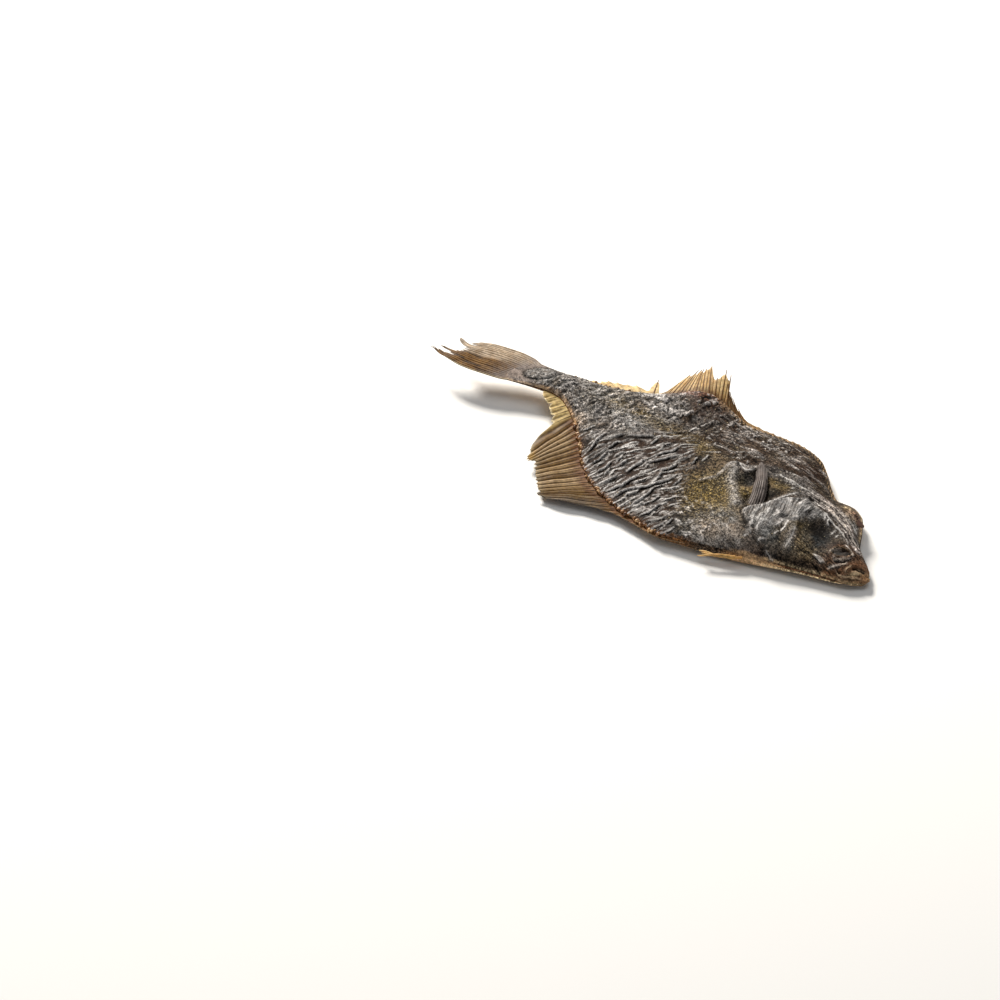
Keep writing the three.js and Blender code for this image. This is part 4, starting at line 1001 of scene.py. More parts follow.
    # each place is brushed along its strongest flow, and fades out where two meet
    strength = np.stack([flow[0] for flow in flows])
    order = np.argsort(strength, axis=0)
    best, runnerUp = (np.take_along_axis(strength, order[k : k + 1 or None], 0)[0] for k in (-1, -2))
    marks["brushed"] = np.clip(best - runnerUp, 0, 1)
    for name, k, size in (("across", 1, bodyMake["streakWide"]), ("along", 2, bodyMake["streakLong"])):
        field = np.stack([flow[k] for flow in flows])
        marks[name] = np.take_along_axis(field, order[-1:], 0)[0] / size
    return height, marks


markNames = ["crest", "valley", "slate", "olive", "speck", "purple", "bloom", "pale", "wall", "tan", "rust", "lip",
             "lid", "blind", "stain", "even", "prickle", "brushed", "across", "along", "red", "dim", "creaseAway",
             "creaseTone", "finRoot"]


def strengthen(marks, **amounts):  # raises marks where these amounts are higher
    for name, amount in amounts.items():
        marks[name] = np.maximum(marks[name], amount)


def domed(v):  # height of the body's section, from 0 at both edges to 1 in the middle
    return (1 - np.abs(v) ** bodyMake["domeSquare"]).clip(0) ** bodyMake["domeRound"]


def bodyRings(s):  # y, z and marks of one ring round the body for each s
    s = s[:, None]
    back, belly, high = backEdge(s), bellyEdge(s), crown(s)
    middle, half = (back - belly) / 2, (back + belly) / 2
    crowding = bodyMake["crowding"]
    v = (np.sin(np.linspace(-1, 1, bodyMake["topColumns"] + 1) * crowding) / math.sin(crowding))[None, :]
    y = middle + v * half
    fade = np.minimum(1, 7 * (1 - np.abs(v)))  # relief runs out at both edges
    height, marks = eyedRelief(s + 0 * y, y)
    rimTop, wall = bodyMake["rimTop"], bodyMake["bellyWall"] * bell(s, 40, 14)
    thin = 1 - 0.8 * smooth(s, 144, 167)  # the root of the tail is drawn thin
    top = high * (rimTop + (1 - rimTop) * domed(v) * thin) + fade * height + lie(s, y)

    # narrow rusty band along both edges, where the fin rays are rooted
    onBack, onBelly, inside = v > 0, v < 0, half * (1 - np.abs(v))
    backFinned, bellyFinned = plateau(s, 26, 40, 150, 160), plateau(s, 50, 60, 150, 160)
    jaw, walled = plateau(s, -1, 1, 27, 34), plateau(s, 22, 27, 39, 45)
    wobble = noise(s / 2.5, y / 2.5, 46)
    marks["rust"] = 0.8 * onBelly * bellyFinned * (1 - smooth(inside + 0.5 * noise(s / 2, y / 2, 45), 0.3, 1.7))
    folded = onBack * plateau(s, 24, 33, 90, 100) * (1 - smooth(inside + 0.6 * wobble, 1.0, 2.4))
    dash = smooth(np.sin(2 * np.pi * (s + 1.2 * inside + 0.5 * wobble) / bodyMake["dashPitch"]), -0.6, 0.5)
    # pale dry edge below the tail's root and along the throat, and the belly's edge in its own shade
    paleEdge = onBelly * plateau(s, 124, 132, 166, 170) * (1 - smooth(inside + 0.3 * wobble, 0.3, 1.3))
    throat = onBelly * plateau(s, 23, 28, 37, 42) * (1 - smooth(inside + 0.4 * wobble, 0.2, 1.0))
    shaded = onBelly * plateau(s, 54, 64, 112, 124) * (1 - smooth(inside + 0.8 * wobble, 2, 6))
    marks["wall"] = throat
    strengthen(
        marks, tan=np.maximum(folded * (0.45 + 0.55 * dash), 0.8 * paleEdge), even=0.7 * np.maximum(throat, paleEdge),
        red=0.75 * onBack * plateau(s, 98, 107, 116, 124) * (1 - smooth(inside, 1.5, 6)), dim=0.9 * shaded,
        pale=0.3 * onBelly * jaw * bell(inside, 0.2, 0.4),
        valley=np.maximum(0.75 * folded * (1 - dash), 0.6 * onBelly * jaw * bell(inside, 1.4, 0.5)))
    marks["prickle"] = np.clip(marks["speck"] - 0.6 * marks["crest"], 0, 1) * (1 - smooth(np.abs(v), 0.9, 0.97))

    # rounded edges, each from the eyed side down to the blind side
    rim = np.linspace(0, 1, bodyMake["rimColumns"] + 2)[None, 1:-1]
    angle = np.pi * (rim - 0.5)
    upper, lifted = rimTop * high, fish["snoutLift"] * (1 - smooth(s, 0, 9))
    rims = []
    for side, edge, cut, bulge in ((1, back, 0, bodyMake["backBulge"]), (-1, belly, wall, bodyMake["bellyBulge"])):
        lower = (bodyMake["rimUnder"] - cut) * high + lifted
        yRim = side * (edge + (upper - lower) / 2 * bulge * np.cos(angle))
        rims.append((yRim, (upper + lower) / 2 - (upper - lower) / 2 * np.sin(angle) + lie(s, yRim)))
    (backY, backZ), (bellyY, bellyZ) = rims
    tanned = backFinned * (1 - smooth(s, 100, 128))
    backMarks = {
        "rust": backFinned - tanned, "tan": tanned * (1 - smooth(rim, 0.45, 0.7)),
        "blind": 0.9 * smooth(rim, 0.55, 0.95), "pale": 0.6 * plateau(s, 12, 18, 26, 34) * smooth(rim, 0.3, 0.6),
    }
    # dim on the belly's edge is painted shade
    bellyMarks = {
        "rust": bellyFinned, "wall": walled * (0.5 + 0.5 * smooth(rim, 0.2, 0.5)), "even": 0.6 * walled,
        "purple": 0.4 * walled * (1 - smooth(rim, 0.2, 0.4)), "valley": 0.7 * jaw * bell(rim, 0.15, 0.12),
        "dim": 0.6 * plateau(s, 56, 64, 92, 102), "lip": 0.9 * jaw * (1 - smooth(rim, 0.42, 0.6)),
        "pale": 0.9 * jaw * smooth(rim, 0.42, 0.6), "blind": 0.9 * smooth(rim, 0.65, 1.0) * (1 - walled),
    }

    # blind side: flat in the middle, drawn up towards the edges, with shallow ribs, a gill slit and a mouth
    vUnder = np.linspace(1, -1, bodyMake["underColumns"] + 1)[None, :]
    yUnder = middle + vUnder * half
    lift = (bodyMake["rimUnder"] - np.where(vUnder < 0, wall, 0)) * smooth(np.abs(vUnder), 0.45, 1)
    ribs = 0.6 * np.sin(2 * np.pi * (s - 0.5 * np.abs(yUnder)) / bodyMake["blindRibs"])
    ripple = rough(s / 6, yUnder / 9, 61, 3) + ribs
    slit = bell(gillEdge(yUnder) - s, 0, 2) * plateau(yUnder, -17, -14, 5, 9)
    slit = np.maximum(slit, bell(beside(blindMouth, s + 0 * yUnder, yUnder)[0], 0, 1.2))
    hollow = 0.3 + 0.28 * ripple.clip(-1, 1) + 0.4 * slit
    under = lift * high + lifted + lie(s, yUnder) + hollow * (1 - vUnder**8)
    stain = 0.5 + 0.5 * rough(s / 14, yUnder / 12, 62, 3) + 0.6 * patch(s, yUnder, 60, -10, 16, 14)
    # painted highlight on the ripples' crests, painted shade in their hollows and in the slits
    underMarks = {
        "blind": 1.0, "stain": stain.clip(0, 1), "even": 0.75, "crest": 0.35 * smooth(ripple, 0.3, 1.2),
        "rust": smooth(np.abs(vUnder), 0.88, 1) * backFinned,
        "valley": np.maximum(0.35 * smooth(-ripple, 0.1, 1.1), 0.6 * slit),
    }

    # the ring runs over the eyed side, down the back's edge, under the blind side and up the belly's edge
    ringY = np.concatenate([y, backY, yUnder, bellyY[:, ::-1]], 1)
    ringZ = np.concatenate([top, backZ, under, bellyZ[:, ::-1]], 1)
    level = finLevel(s, ringY)
    ringZ = level + (ringZ - level) * (1 - 0.6 * smooth(s, 154, bodyLength))
    ringMarks = {}
    for name in markNames:
        missing = bodyMake["noCrease"] if name == "creaseAway" else 0.0
        parts = [np.broadcast_to(marked.get(name, missing), shape.shape) for marked, shape in (
            (marks, y), (backMarks, backY), (underMarks, yUnder), (bellyMarks, bellyY))]
        ringMarks[name] = np.concatenate([*parts[:3], parts[3][:, ::-1]], 1)
    return ringY, ringZ, ringMarks


def buildBody():
    s = np.concatenate([
        np.arange(0, 60, bodyMake["headStep"]), np.arange(60, 140, bodyMake["wrinkleStep"]),
        np.arange(140, bodyLength, bodyMake["tailStep"]), [bodyLength]])
    ringY, ringZ, marks = bodyRings(s)
    ringS = s[:, None] + 0 * ringY
    # the round nose and the oval end, each shrunk from the last ring
    nose = [(-bodyMake["nose"] * u, math.sqrt(1 - u * u)) for u in (0.98, 0.9, 0.75, 0.5, 0.25)]
    oval = [(bodyLength + bodyMake["tailOval"] * u, math.sqrt(1 - u * u))
            for u in (0.2, 0.4, 0.6, 0.75, 0.87, 0.95, 0.99)]
    for ends, last, power in ((nose, 0, 1.0), (oval, -1, 0.8)):
        at, share = (np.array(column)[:, None] for column in zip(*ends))
        lastY, lastZ = ringY[last], ringZ[last]
        endS, endY = at + 0 * lastY, lastY.mean() + (lastY - lastY.mean()) * share
        endZ = lastZ.mean() + (lastZ - lastZ.mean()) * share**power
        if ends is oval:
            endZ += lie(endS, endY) - lie(bodyLength, endY)
        added = {n: np.repeat(m[last][None], len(ends), 0) for n, m in marks.items()}
        added.update(s=endS, y=endY, z=endZ)
        fields = {**marks, "s": ringS, "y": ringY, "z": ringZ}
        marks = {n: np.concatenate([added[n], f] if ends is nose else [f, added[n]]) for n, f in fields.items()}
        ringS, ringY, ringZ = (marks.pop(n) for n in ("s", "y", "z"))
    rows, columns = ringS.shape
    points = place(ringS, ringY, ringZ).reshape(-1, 3)
    grid = np.arange(rows * columns).reshape(rows, columns)
    ahead = np.roll(grid, -1, axis=1)
    quads = np.stack([grid[:-1], ahead[:-1], ahead[1:], grid[1:]], -1).reshape(-1, 4).tolist()
    snout, end = len(points), len(points) + 1
    points = np.concatenate([points, points[grid[0]].mean(0)[None], points[grid[-1]].mean(0)[None]])
    caps = [[snout, b, a] for a, b in zip(grid[0], ahead[0])] + [[end, a, b] for a, b in zip(grid[-1], ahead[-1])]
    marks = {n: np.r_[m.ravel(), m[0].mean(), m[-1].mean()] for n, m in marks.items()}
    return newPiece("driedBody", points, quads + caps, marks, skinMaterial)


body = buildBody()
finish(body, "dried_skin", "dried_flounder")
print("body", len(body.data.polygons), "faces")

# fins along the back and the belly: reach and lean of the rays, as in the solid
backFin = {
    "name": "backFin", "side": 1, "edge": backEdge, "first": 11, "last": 57,
    "reach": profile([
        [30, 0.6], [34, 1.2], [60, 1.8], [80, 2.4], [86, 4], [89, 8], [94, 9], [97, 9], [99.5, 11], [102.5, 11.5],
        [104.5, 8], [107.5, 16.5], [113, 15], [119, 13.5], [121.3, 12], [123.2, 2.2], [124.6, 2.2], [125.8, 9.6],
        [127, 3.2], [128.5, 6], [136, 6], [141, 4.5], [146, 2.4], [149, 0.6], [153, 0.6]]),
    "lean": profile([
        [30, 30], [80, 45], [88, 70], [93, 62], [97, 50], [100, 33], [103, 36], [106, 40], [110, 38], [115, 24],
        [121, 12], [124.4, 20], [125.8, 32], [128.5, 74], [152, 78]]),
    "fray": 0.2, "web": 0.88, "tear": 0.2, "tearPower": 2, "webPower": 1.6, "ridge": 0.15, "seed": 71,
    "rootBand": (0.8, 3.4), "sunlit": (101, 6),  # millimetres out along a ray, and along the body
}
bellyFin = {
    "name": "bellyFin", "side": -1, "edge": bellyEdge, "first": 20, "last": 57,
    "reach": profile([
        [54, 0.6], [58, 1.2], [72, 2], [82, 4], [86, 10], [90, 27], [100, 21], [111, 19], [122, 20], [129, 26],
        [134.5, 23], [137, 9.5], [142, 7], [148, 5], [153, 0.6]]),
    "lean": profile([
        [56, 30], [82, 50], [90, 54], [100, 40], [111, 27], [122, 12], [134, -4], [138, 10], [152, 20]]),
    "fray": 0.06, "web": 0.97, "tear": 0.06, "tearPower": 2, "webPower": 1.6, "ridge": 0.4, "seed": 72,
    "rootBand": (1.5, 7), "sunlit": (127, 5),
}
finMake = {"perRay": 8, "rows": 26, "sunk": 2.0, "rayHalf": 0.2, "webHalf": 0.12, "taper": 0.4, "rayPower": 2.4}


def finPoint(fin, ray, long):  # s, y and level of a fin, long millimetres out along a ray
    root = ray * rayPitch
    slant = np.radians(fin["lean"](root))
    s = root + long * np.sin(slant)
    y = fin["side"] * (fin["edge"](root) + long * np.cos(slant))
    wave = 0.5 * noise(s / 9, y / 9, fin["seed"]) * smooth(long, 2, 14)
    return s, y, finLevel(s, y) + wave


def tornReach(fin, ray, reach, ragged=0.0):  # reach of a torn ray, or of the web between two, and how near a ray is
    whole = np.round(ray)
    near = 1 - 2 * np.abs(ray - whole)
    tip = 1 - (fin["fray"] + ragged) * draws(whole, 0, fin["seed"]) ** 2
    web = fin["web"] - fin["tear"] * draws(np.floor(ray), 1, fin["seed"]) ** fin["tearPower"]
    return reach * (web + (tip - web) * near ** fin["webPower"]), near


def finReach(fin, ray):
    ragged = 0.7 * (fin["side"] < 0) * smooth(ray * rayPitch, 135, 138)
    return tornReach(fin, ray, fin["reach"](ray * rayPitch), ragged)


def sheetPiece(name, centre, half, marks, material):  # a closed sheet round a grid of middle points, in metres
    across = np.cross(np.gradient(centre, axis=0), np.gradient(centre, axis=1))
    across /= np.linalg.norm(across, axis=-1, keepdims=True).clip(1e-12)
    across *= np.where(across[..., 2:] < 0, -1, 1)
    points = np.concatenate([centre + across * half[..., None], centre - across * half[..., None]])
    faces = slabFaces(*half.shape)
    both = {mark: np.concatenate([np.broadcast_to(values, half.shape)] * 2) for mark, values in marks.items()}
    piece = newPiece(name, points, faces, both, material)
    if piece.data.polygons[0].normal.z < 0:
        piece.data.flip_normals()
    return piece


backWeb = finMaterial("dryFinWebGold", "#e8d3a4", "#d0ad70", [
    ("light", "#fbecc8", 0.8, 2.0), ("deep", "#80592a", 0.9, 2.0), ("root", "#744f38", 0.85, 1.5),
    ("tip", "#f6e4c0", 0.6, 2.0), ("fringe", "#fbeec9", 0.9, 2.0)], 0.6)
bellyWeb = finMaterial("dryFinWebOlive", "#9c7a44", "#765629", [
    ("light", "#cdb088", 0.9, 3.0), ("deep", "#523818", 0.8, 3.0), ("root", "#663719", 0.85, 2.0),
    ("flap", "#d6bd80", 0.9, 2.0), ("groove", "#2a1607", 0.85, 1.0), ("tip", "#d6a83f", 0.95, 1.5),
    ("edge", "#f3e6c2", 0.8, 1.2), ("front", "#6a625c", 0.85, 3.0)], 0.25)
tailWeb = finMaterial("dryTailWeb", "#9a7032", "#6e4a1c", [
    ("light", "#e2d0b8", 0.9, 3.0), ("root", "#938780", 1.0, 2.5), ("deep", "#261405", 1.0, 1.5),
    ("groove", "#241405", 0.55, 1.0), ("edge", "#e8d6b2", 0.9, 1.5), ("tip", "#857a70", 0.6, 2.0)], 0.3)
rayHorn = finMaterial("dryFinRay", "#4b3116", "#38210b", [
    ("amber", "#68421a", 0.95, 0), ("pale", "#c9b48e", 0.95, 0)], 0.1)


def edgeFin(fin, material):
    ray = np.linspace(fin["first"], fin["last"], (fin["last"] - fin["first"]) * finMake["perRay"] + 1)[None, :]
    reach, near = finReach(fin, ray)
    out = np.linspace(0, 1, finMake["rows"])[:, None] ** 0.9
    long = -finMake["sunk"] + (reach + finMake["sunk"]) * out
    s, y, z = finPoint(fin, ray, long)
    r = (long / reach).clip(0, 1)
    crest = 1 - np.abs(1 - near) ** finMake["rayPower"]
    up, narrow = smooth(long, 0, 4), smooth(reach, 4, 9)
    z = z + fin["ridge"] * (crest - 0.6) * up
    half = (finMake["webHalf"] + (finMake["rayHalf"] - finMake["webHalf"]) * crest) * (1 - finMake["taper"] * r)
    root = ray * rayPitch
    tone = 2 * draws(np.round(ray), 5, fin["seed"]) - 1  # each ray is a little lighter or darker
    flap = smooth(root, 135, 137)
    # painted light where the fin is sunlit, laid in its light tone and kept out of the deep and root tones
    sunlit = 0.75 * bell(root, *fin["sunlit"]) * smooth(long, 1, 6)
    rooted = np.maximum(1 - smooth(long, *fin["rootBand"]), 0.7 * (1 - narrow))
    marks = {
        "ray": crest**3 * narrow, "groove": (1 - smooth(near, 0.1, 0.45)) * up * narrow,
        "light": np.maximum(tone.clip(0) * crest * narrow, sunlit), "deep": (-tone).clip(0) * narrow * (1 - sunlit),
        "root": rooted * (1 - 0.8 * flap) * (1 - sunlit), "flap": flap,
        "tip": smooth(r, 0.8, 0.95) * narrow * (bell(root, 128.5, 3) if fin["side"] < 0 else 1),
        "edge": smooth(r, 0.86, 1.0) * (0.35 + 0.65 * flap), "front": bell(root, 88.5, 3) * smooth(long, 2, 8),
        "fringe": smooth(root, 123, 125) * smooth(long, 0, 1.5),
    }
    return sheetPiece(fin["name"], place(s, y, z), half * mm, marks, material)


for fin, web in ((backFin, backWeb), (bellyFin, bellyWeb)):
    finish(edgeFin(fin, web), "dried_fin")

# the tail fin: rays that spread from the root, then close up to a torn end
tailMake = {
    "rays": 17, "perRay": 12, "rows": 60, "fray": 0.05, "web": 0.98, "tear": 0.1, "tearPower": 3, "webPower": 1.4,
    "ridge": 0.2, "webHalf": 0.12, "rayHalf": 0.24, "sunk": 0.2, "seed": 73,
}
tailSpread = profile([[0, 0.84], [0.2, 0.93], [0.33, 0.95], [0.5, 0.89], [0.65, 0.75], [0.95, 0.53], [1, 0.5]])
tailDrift = profile([[0, 0], [0.33, 0.4], [0.65, 0.85], [0.8, 2], [0.95, 3.6], [1, 4]])
tailReach = profile([
    [-1, 0.965], [-0.82, 0.94], [-0.7, 0.82], [-0.58, 0.745], [-0.46, 0.76], [-0.38, 0.93], [-0.3, 0.9], [-0.18, 0.72],
    [0.1, 0.69], [0.38, 0.7], [0.5, 0.88], [0.6, 0.87], [0.68, 0.7], [0.82, 0.72], [1, 0.66]])


def tailPoint(ray, along):  # along is the share of the tail's length
    v = 2 * ray / tailMake["rays"] - 1
    s = bodyLength + along * fish["tailLength"]
    y = tailDrift(along) + v * fish["tailHalfWidth"] * tailSpread(along) * (0.6 + 0.4 * smooth(along, -0.2, 0.08))
    y = y + 3.2 * bell(v, 0.56, 0.14) * smooth(along, 0.66, 0.9)  # one loose strand leans out
    wave = 0.6 * noise(s / 10, y / 4, tailMake["seed"]) * smooth(along, 0, 0.5)
    return s, y, finLevel(s, y) + wave


def tailEnd(ray):
    return tornReach(tailMake, ray, tailReach(2 * ray / tailMake["rays"] - 1))


def buildTail():
    ray = np.linspace(0, tailMake["rays"], tailMake["rays"] * tailMake["perRay"] + 1)[None, :]
    end, near = tailEnd(ray)
    along = -tailMake["sunk"] + (end + tailMake["sunk"]) * np.linspace(0, 1, tailMake["rows"])[:, None]
    s, y, z = tailPoint(ray, along)
    crest = 1 - np.abs(1 - near) ** finMake["rayPower"]
    z = z + tailMake["ridge"] * (crest - 0.6) * smooth(along, 0.02, 0.2)
    away, r = smooth(along, 0.08, 0.32), (along / end).clip(0, 1)
    half = (tailMake["webHalf"] + (tailMake["rayHalf"] - tailMake["webHalf"]) * crest) * (1 - finMake["taper"] * r)
    stripes = 0.8 * noise(ray / 0.55, along * 3, 76) + 0.6 * noise(ray / 0.3, along * 4, 77)
    low = 1 - smooth(ray + 3 * along + 1.2 * noise(ray / 2, along * 4, 78), 8.5, 12)
    marks = {
        "groove": (1 - smooth(near, 0.1, 0.6)) * away * (0.3 + 0.7 * low),
        "deep": smooth(stripes, 0.0, 0.45) * away * (0.35 + 0.65 * low),
        "root": 1 - smooth(along + 0.008 * ray, 0.1, 0.42), "light": 1 - low, "tip": smooth(r, 0.85, 1),
        "edge": (1 - smooth(ray, 0.0, 0.8)) * (1 - smooth(along, 0.5, 0.8)),
    }
    return sheetPiece("tailFin", place(s, y, z), half * mm, marks, tailWeb)


finish(buildTail(), "dried_fin")
print("fins built")


# Geometry Nodes: rays as tubes along paths, nodules along a path, prickles over the skin
def newTree(name, sizes):
    tree = bpy.data.node_groups.new(name, "GeometryNodeTree")
    tree.interface.new_socket("Geometry", in_out="INPUT", socket_type="NodeSocketGeometry")
    for label, value in sizes.items():
        kind = "NodeSocketInt" if isinstance(value, int) else "NodeSocketFloat"
        tree.interface.new_socket(label, in_out="INPUT", socket_type=kind).default_value = value
    tree.interface.new_socket("Geometry", in_out="OUTPUT", socket_type="NodeSocketGeometry")
    return tree, addNode(tree, "NodeGroupInput").outputs


def closeTree(tree, made, material):
    made = addNode(tree, "GeometryNodeSetShadeSmooth", {"Geometry": made}).outputs["Geometry"]
    made = addNode(tree, "GeometryNodeRealizeInstances", {"Geometry": made}).outputs["Geometry"]
    made = addNode(tree, "GeometryNodeSetMaterial", {"Geometry": made, "Material": material}).outputs["Geometry"]
    addNode(tree, "NodeGroupOutput", {"Geometry": made})
    return tree


def grow(name, source, tree, sizes):  # runs a tree on a source object and keeps its result as a plain mesh
    modifier = source.modifiers.new(tree.name, "NODES")
    modifier.node_group = tree
    for item in tree.interface.items_tree:
        if item.in_out == "INPUT" and item.name in sizes:
            modifier[item.identifier] = sizes[item.name]
    bpy.context.view_layer.update()
    made = source.evaluated_get(bpy.context.evaluated_depsgraph_get())
    mesh = bpy.data.meshes.new_from_object(made)
    source.modifiers.remove(modifier)
    mesh.name = name
    piece = bpy.data.objects.new(name, mesh)
    bpy.context.scene.collection.objects.link(piece)
    return piece


def growPaths(name, paths, tree, sizes):
    # paths of points and radii in metres, shares along, and a tone, amber above 0 and pale below, as loose edges
    points, edges, marks = [], [], {"thick": [], "tip": [], "amber": [], "pale": []}
    for line, radius, share, tone in paths:
        start = len(points)
        points += [tuple(p) for p in line]
        edges += [(start + k, start + k + 1) for k in range(len(line) - 1)]
        marks["thick"] += list(radius)
        marks["tip"] += list(share)
        marks["amber"] += [max(tone, 0)] * len(line)
        marks["pale"] += [max(-tone, 0)] * len(line)
    mesh = bpy.data.meshes.new(name)
    mesh.from_pydata(points, edges, [])
    for mark, values in marks.items():
        mesh.attributes.new(mark, "FLOAT", "POINT").data.foreach_set("value", np.array(values, np.float32))
    holder = bpy.data.objects.new(name + "Paths", mesh)
    bpy.context.scene.collection.objects.link(holder)
    piece = grow(name, holder, tree, sizes)
    bpy.data.objects.remove(holder)
    return piece


def rayTree(material, sizes):
    tree, given = newTree("finRayTubes", sizes)
    curve = addNode(tree, "GeometryNodeMeshToCurve", {"Mesh": given["Geometry"]}).outputs["Curve"]
    thick = addNode(tree, "GeometryNodeInputNamedAttribute", {"Name": "thick"}, data_type="FLOAT")
    radius = addNode(tree, "ShaderNodeMath", {0: thick.outputs["Attribute"], 1: given["Thickness"]},
                     operation="MULTIPLY").outputs[0]
    circle = addNode(tree, "GeometryNodeCurvePrimitiveCircle", {"Resolution": given["Sides"], "Radius": 1.0})
    tube = addNode(tree, "GeometryNodeCurveToMesh", {
        "Curve": curve, "Profile Curve": circle.outputs["Curve"], "Scale": radius, "Fill Caps": True})
    return closeTree(tree, tube.outputs["Mesh"], material)


raysMake = {
    "sizes": {"Sides": 6, "Thickness": 1.0},
    "steps": 16,
    "root": 0.36, "end": 0.12,  # radii in millimetres
    "proud": 0.06, "sunk": 1.5, "shortest": 1.5, "tall": 5,
    "between": (31.5, 46),  # thin rays between the main ones where the back fin is tall
}
t = np.linspace(0, 1, raysMake["steps"])
paths = []
for fin in (backFin, bellyFin):
    for k in range(fin["first"] + 1, fin["last"]):
        length, root = float(finReach(fin, np.array(float(k)))[0]), k * rayPitch
        if length < raysMake["shortest"]:
            continue
        onBack, tall = fin["side"] > 0, length > raysMake["tall"]
        fringe = onBack and root > 127
        beyond = 0.3 + 1.4 * float(draws(k, 9, fin["seed"])) * tall if onBack else 0.2
        s, y, z = finPoint(fin, float(k), -raysMake["sunk"] + (length + raysMake["sunk"] + beyond) * t)
        z = z + fin["ridge"] * 0.4 * smooth(length * t, 0, 4) + raysMake["proud"]
        size = (1 if tall else 0.6) * (1.15 if onBack else 0.7) * (0.6 if fringe else 1)
        radius = size * (raysMake["root"] + (raysMake["end"] - raysMake["root"]) * t) * mm
        # the belly fin's rays are painted pale where the fin is sunlit
        tone = 1.0 if onBack else -0.6 * bell(root, *fin["sunlit"])
        paths.append((place(s, y, z), radius, t, -0.8 if fringe else tone))
for k in range(tailMake["rays"] + 1):
    length = float(tailEnd(np.array(float(k)))[0])
    along = -0.1 + (length + 0.1 + 0.012) * t
    s, y, z = tailPoint(float(k), along)
    z = z + 0.1 * smooth(along, 0.02, 0.2)
    paths.append((place(s, y, z), (0.17 - 0.09 * t) * mm, t, -0.9 if k > 8 else 0.5))
for k in np.arange(*raysMake["between"]):
    length = float(finReach(backFin, np.array(k))[0])
    s, y, z = finPoint(backFin, k, -raysMake["sunk"] + (length + raysMake["sunk"]) * t)
    paths.append((place(s, y, z + raysMake["proud"]), (0.2 - 0.1 * t) * mm, t, 0.9))
finRays = growPaths("finRays", paths, rayTree(rayHorn, raysMake["sizes"]), raysMake["sizes"])
finish(finRays, "dried_fin")
print("fin rays", len(paths))


def beadTree(tree, points, rotation, sizes, make, material):  # low balls of random size on points
    ball = addNode(tree, "GeometryNodeMeshIcoSphere", {"Radius": 1.0, "Subdivisions": make["cuts"]}).outputs["Mesh"]
    size = addNode(tree, "FunctionNodeRandomValue", {
        2: sizes["Smallest"], 3: sizes["Largest"], "Seed": make["sizeSeed"]}, data_type="FLOAT").outputs[1]
    shape = addNode(tree, "ShaderNodeCombineXYZ", dict(zip("XYZ", make["shape"]))).outputs[0]
    scale = addNode(tree, "ShaderNodeVectorMath", {0: shape, "Scale": size}, operation="SCALE").outputs[0]
    balls = addNode(tree, "GeometryNodeInstanceOnPoints", {
        "Points": points, "Instance": ball, "Rotation": rotation, "Scale": scale})
    return closeTree(tree, balls.outputs["Instances"], material)


# nodules where the rays are rooted in the edge of the body
noduleMake = {
    "sizes": {"Spacing": 0.001, "Smallest": 0.0003, "Largest": 0.00085},  # metres
    "cuts": 2, "shape": (1.35, 1.0, 0.75), "shift": (0.0005, 0.0006, 0.0004),
    "sizeSeed": 5, "turnSeed": 8, "shiftSeed": 9,
    "along": ((backFin, 132, 151), (bellyFin, 62, 133)),  # from where to where behind the snout
}
noduleLook = {  # bony knobs with bits of dry amber skin
    "cloud": 2.2, "detail": 2.0, "tones": [(0.36, "#4a3020"), (0.5, "#8a5c33"), (0.66, "#c6a272")],
    "roughness": 0.45, "specular": 0.5,
}


def noduleTree(material, make):
    tree, sizes = newTree("rayRootNodules", make["sizes"])
    curve = addNode(tree, "GeometryNodeMeshToCurve", {"Mesh": sizes["Geometry"]}).outputs["Curve"]
    points = addNode(tree, "GeometryNodeResampleCurve", {"Curve": curve, "Length": sizes["Spacing"]}, mode="LENGTH")
    turned, shifted = (addNode(tree, "FunctionNodeRandomValue", {0: low, 1: high, "Seed": seed},
                               data_type="FLOAT_VECTOR").outputs[0] for low, high, seed in (
        ((0, 0, 0), (6.28, 6.28, 6.28), make["turnSeed"]),
        ([-most for most in make["shift"]], make["shift"], make["shiftSeed"])))
    moved = addNode(tree, "GeometryNodeSetPosition", {"Geometry": points.outputs["Curve"], "Offset": shifted})
    return beadTree(tree, moved.outputs["Geometry"], turned, sizes, make, material)


paths = []
for fin, first, last in noduleMake["along"]:
    s = np.linspace(first, last, 160)
    y = fin["side"] * (fin["edge"](s) + 0.1)
    paths.append((place(s, y, 0.44 * crown(s) + lie(s, y)), np.ones(len(s)), np.zeros(len(s)), 0.0))
noduleHorn = clouded("dryRayRoot", noduleLook)
rayRoots = growPaths("rayRoots", paths, noduleTree(noduleHorn, noduleMake), noduleMake["sizes"])
finish(rayRoots, "dried_fin")
print("ray roots", len(rayRoots.data.polygons), "faces")


# prickles: the rough scales left on the eyed side, each a low bead on the skin
prickleMake = {
    "sizes": {"Apart": 0.00075, "Most": 900000.0, "Smallest": 0.00013, "Largest": 0.00032, "Seed": 3},  # metres
    "cuts": 1, "shape": (1.0, 1.0, 0.55), "sizeSeed": 4,
}
prickleLook = {  # dull gold to grey horn
    "cloud": 1.1, "detail": 1.0, "tones": [(0.38, "#2b231d"), (0.52, "#6c6152"), (0.68, "#b8a784")],
    "roughness": 0.5, "specular": 0.3,
}


def prickleTree(material, make):
    tree, sizes = newTree("skinPrickles", make["sizes"])
    where = addNode(tree, "GeometryNodeInputNamedAttribute", {"Name": "prickle"}, data_type="FLOAT")
    spread = addNode(tree, "GeometryNodeDistributePointsOnFaces", {
        "Mesh": sizes["Geometry"], "Distance Min": sizes["Apart"], "Density Max": sizes["Most"],
        "Density Factor": where.outputs["Attribute"], "Seed": sizes["Seed"]}, distribute_method="POISSON").outputs
    return beadTree(tree, spread["Points"], spread["Rotation"], sizes, make, material)


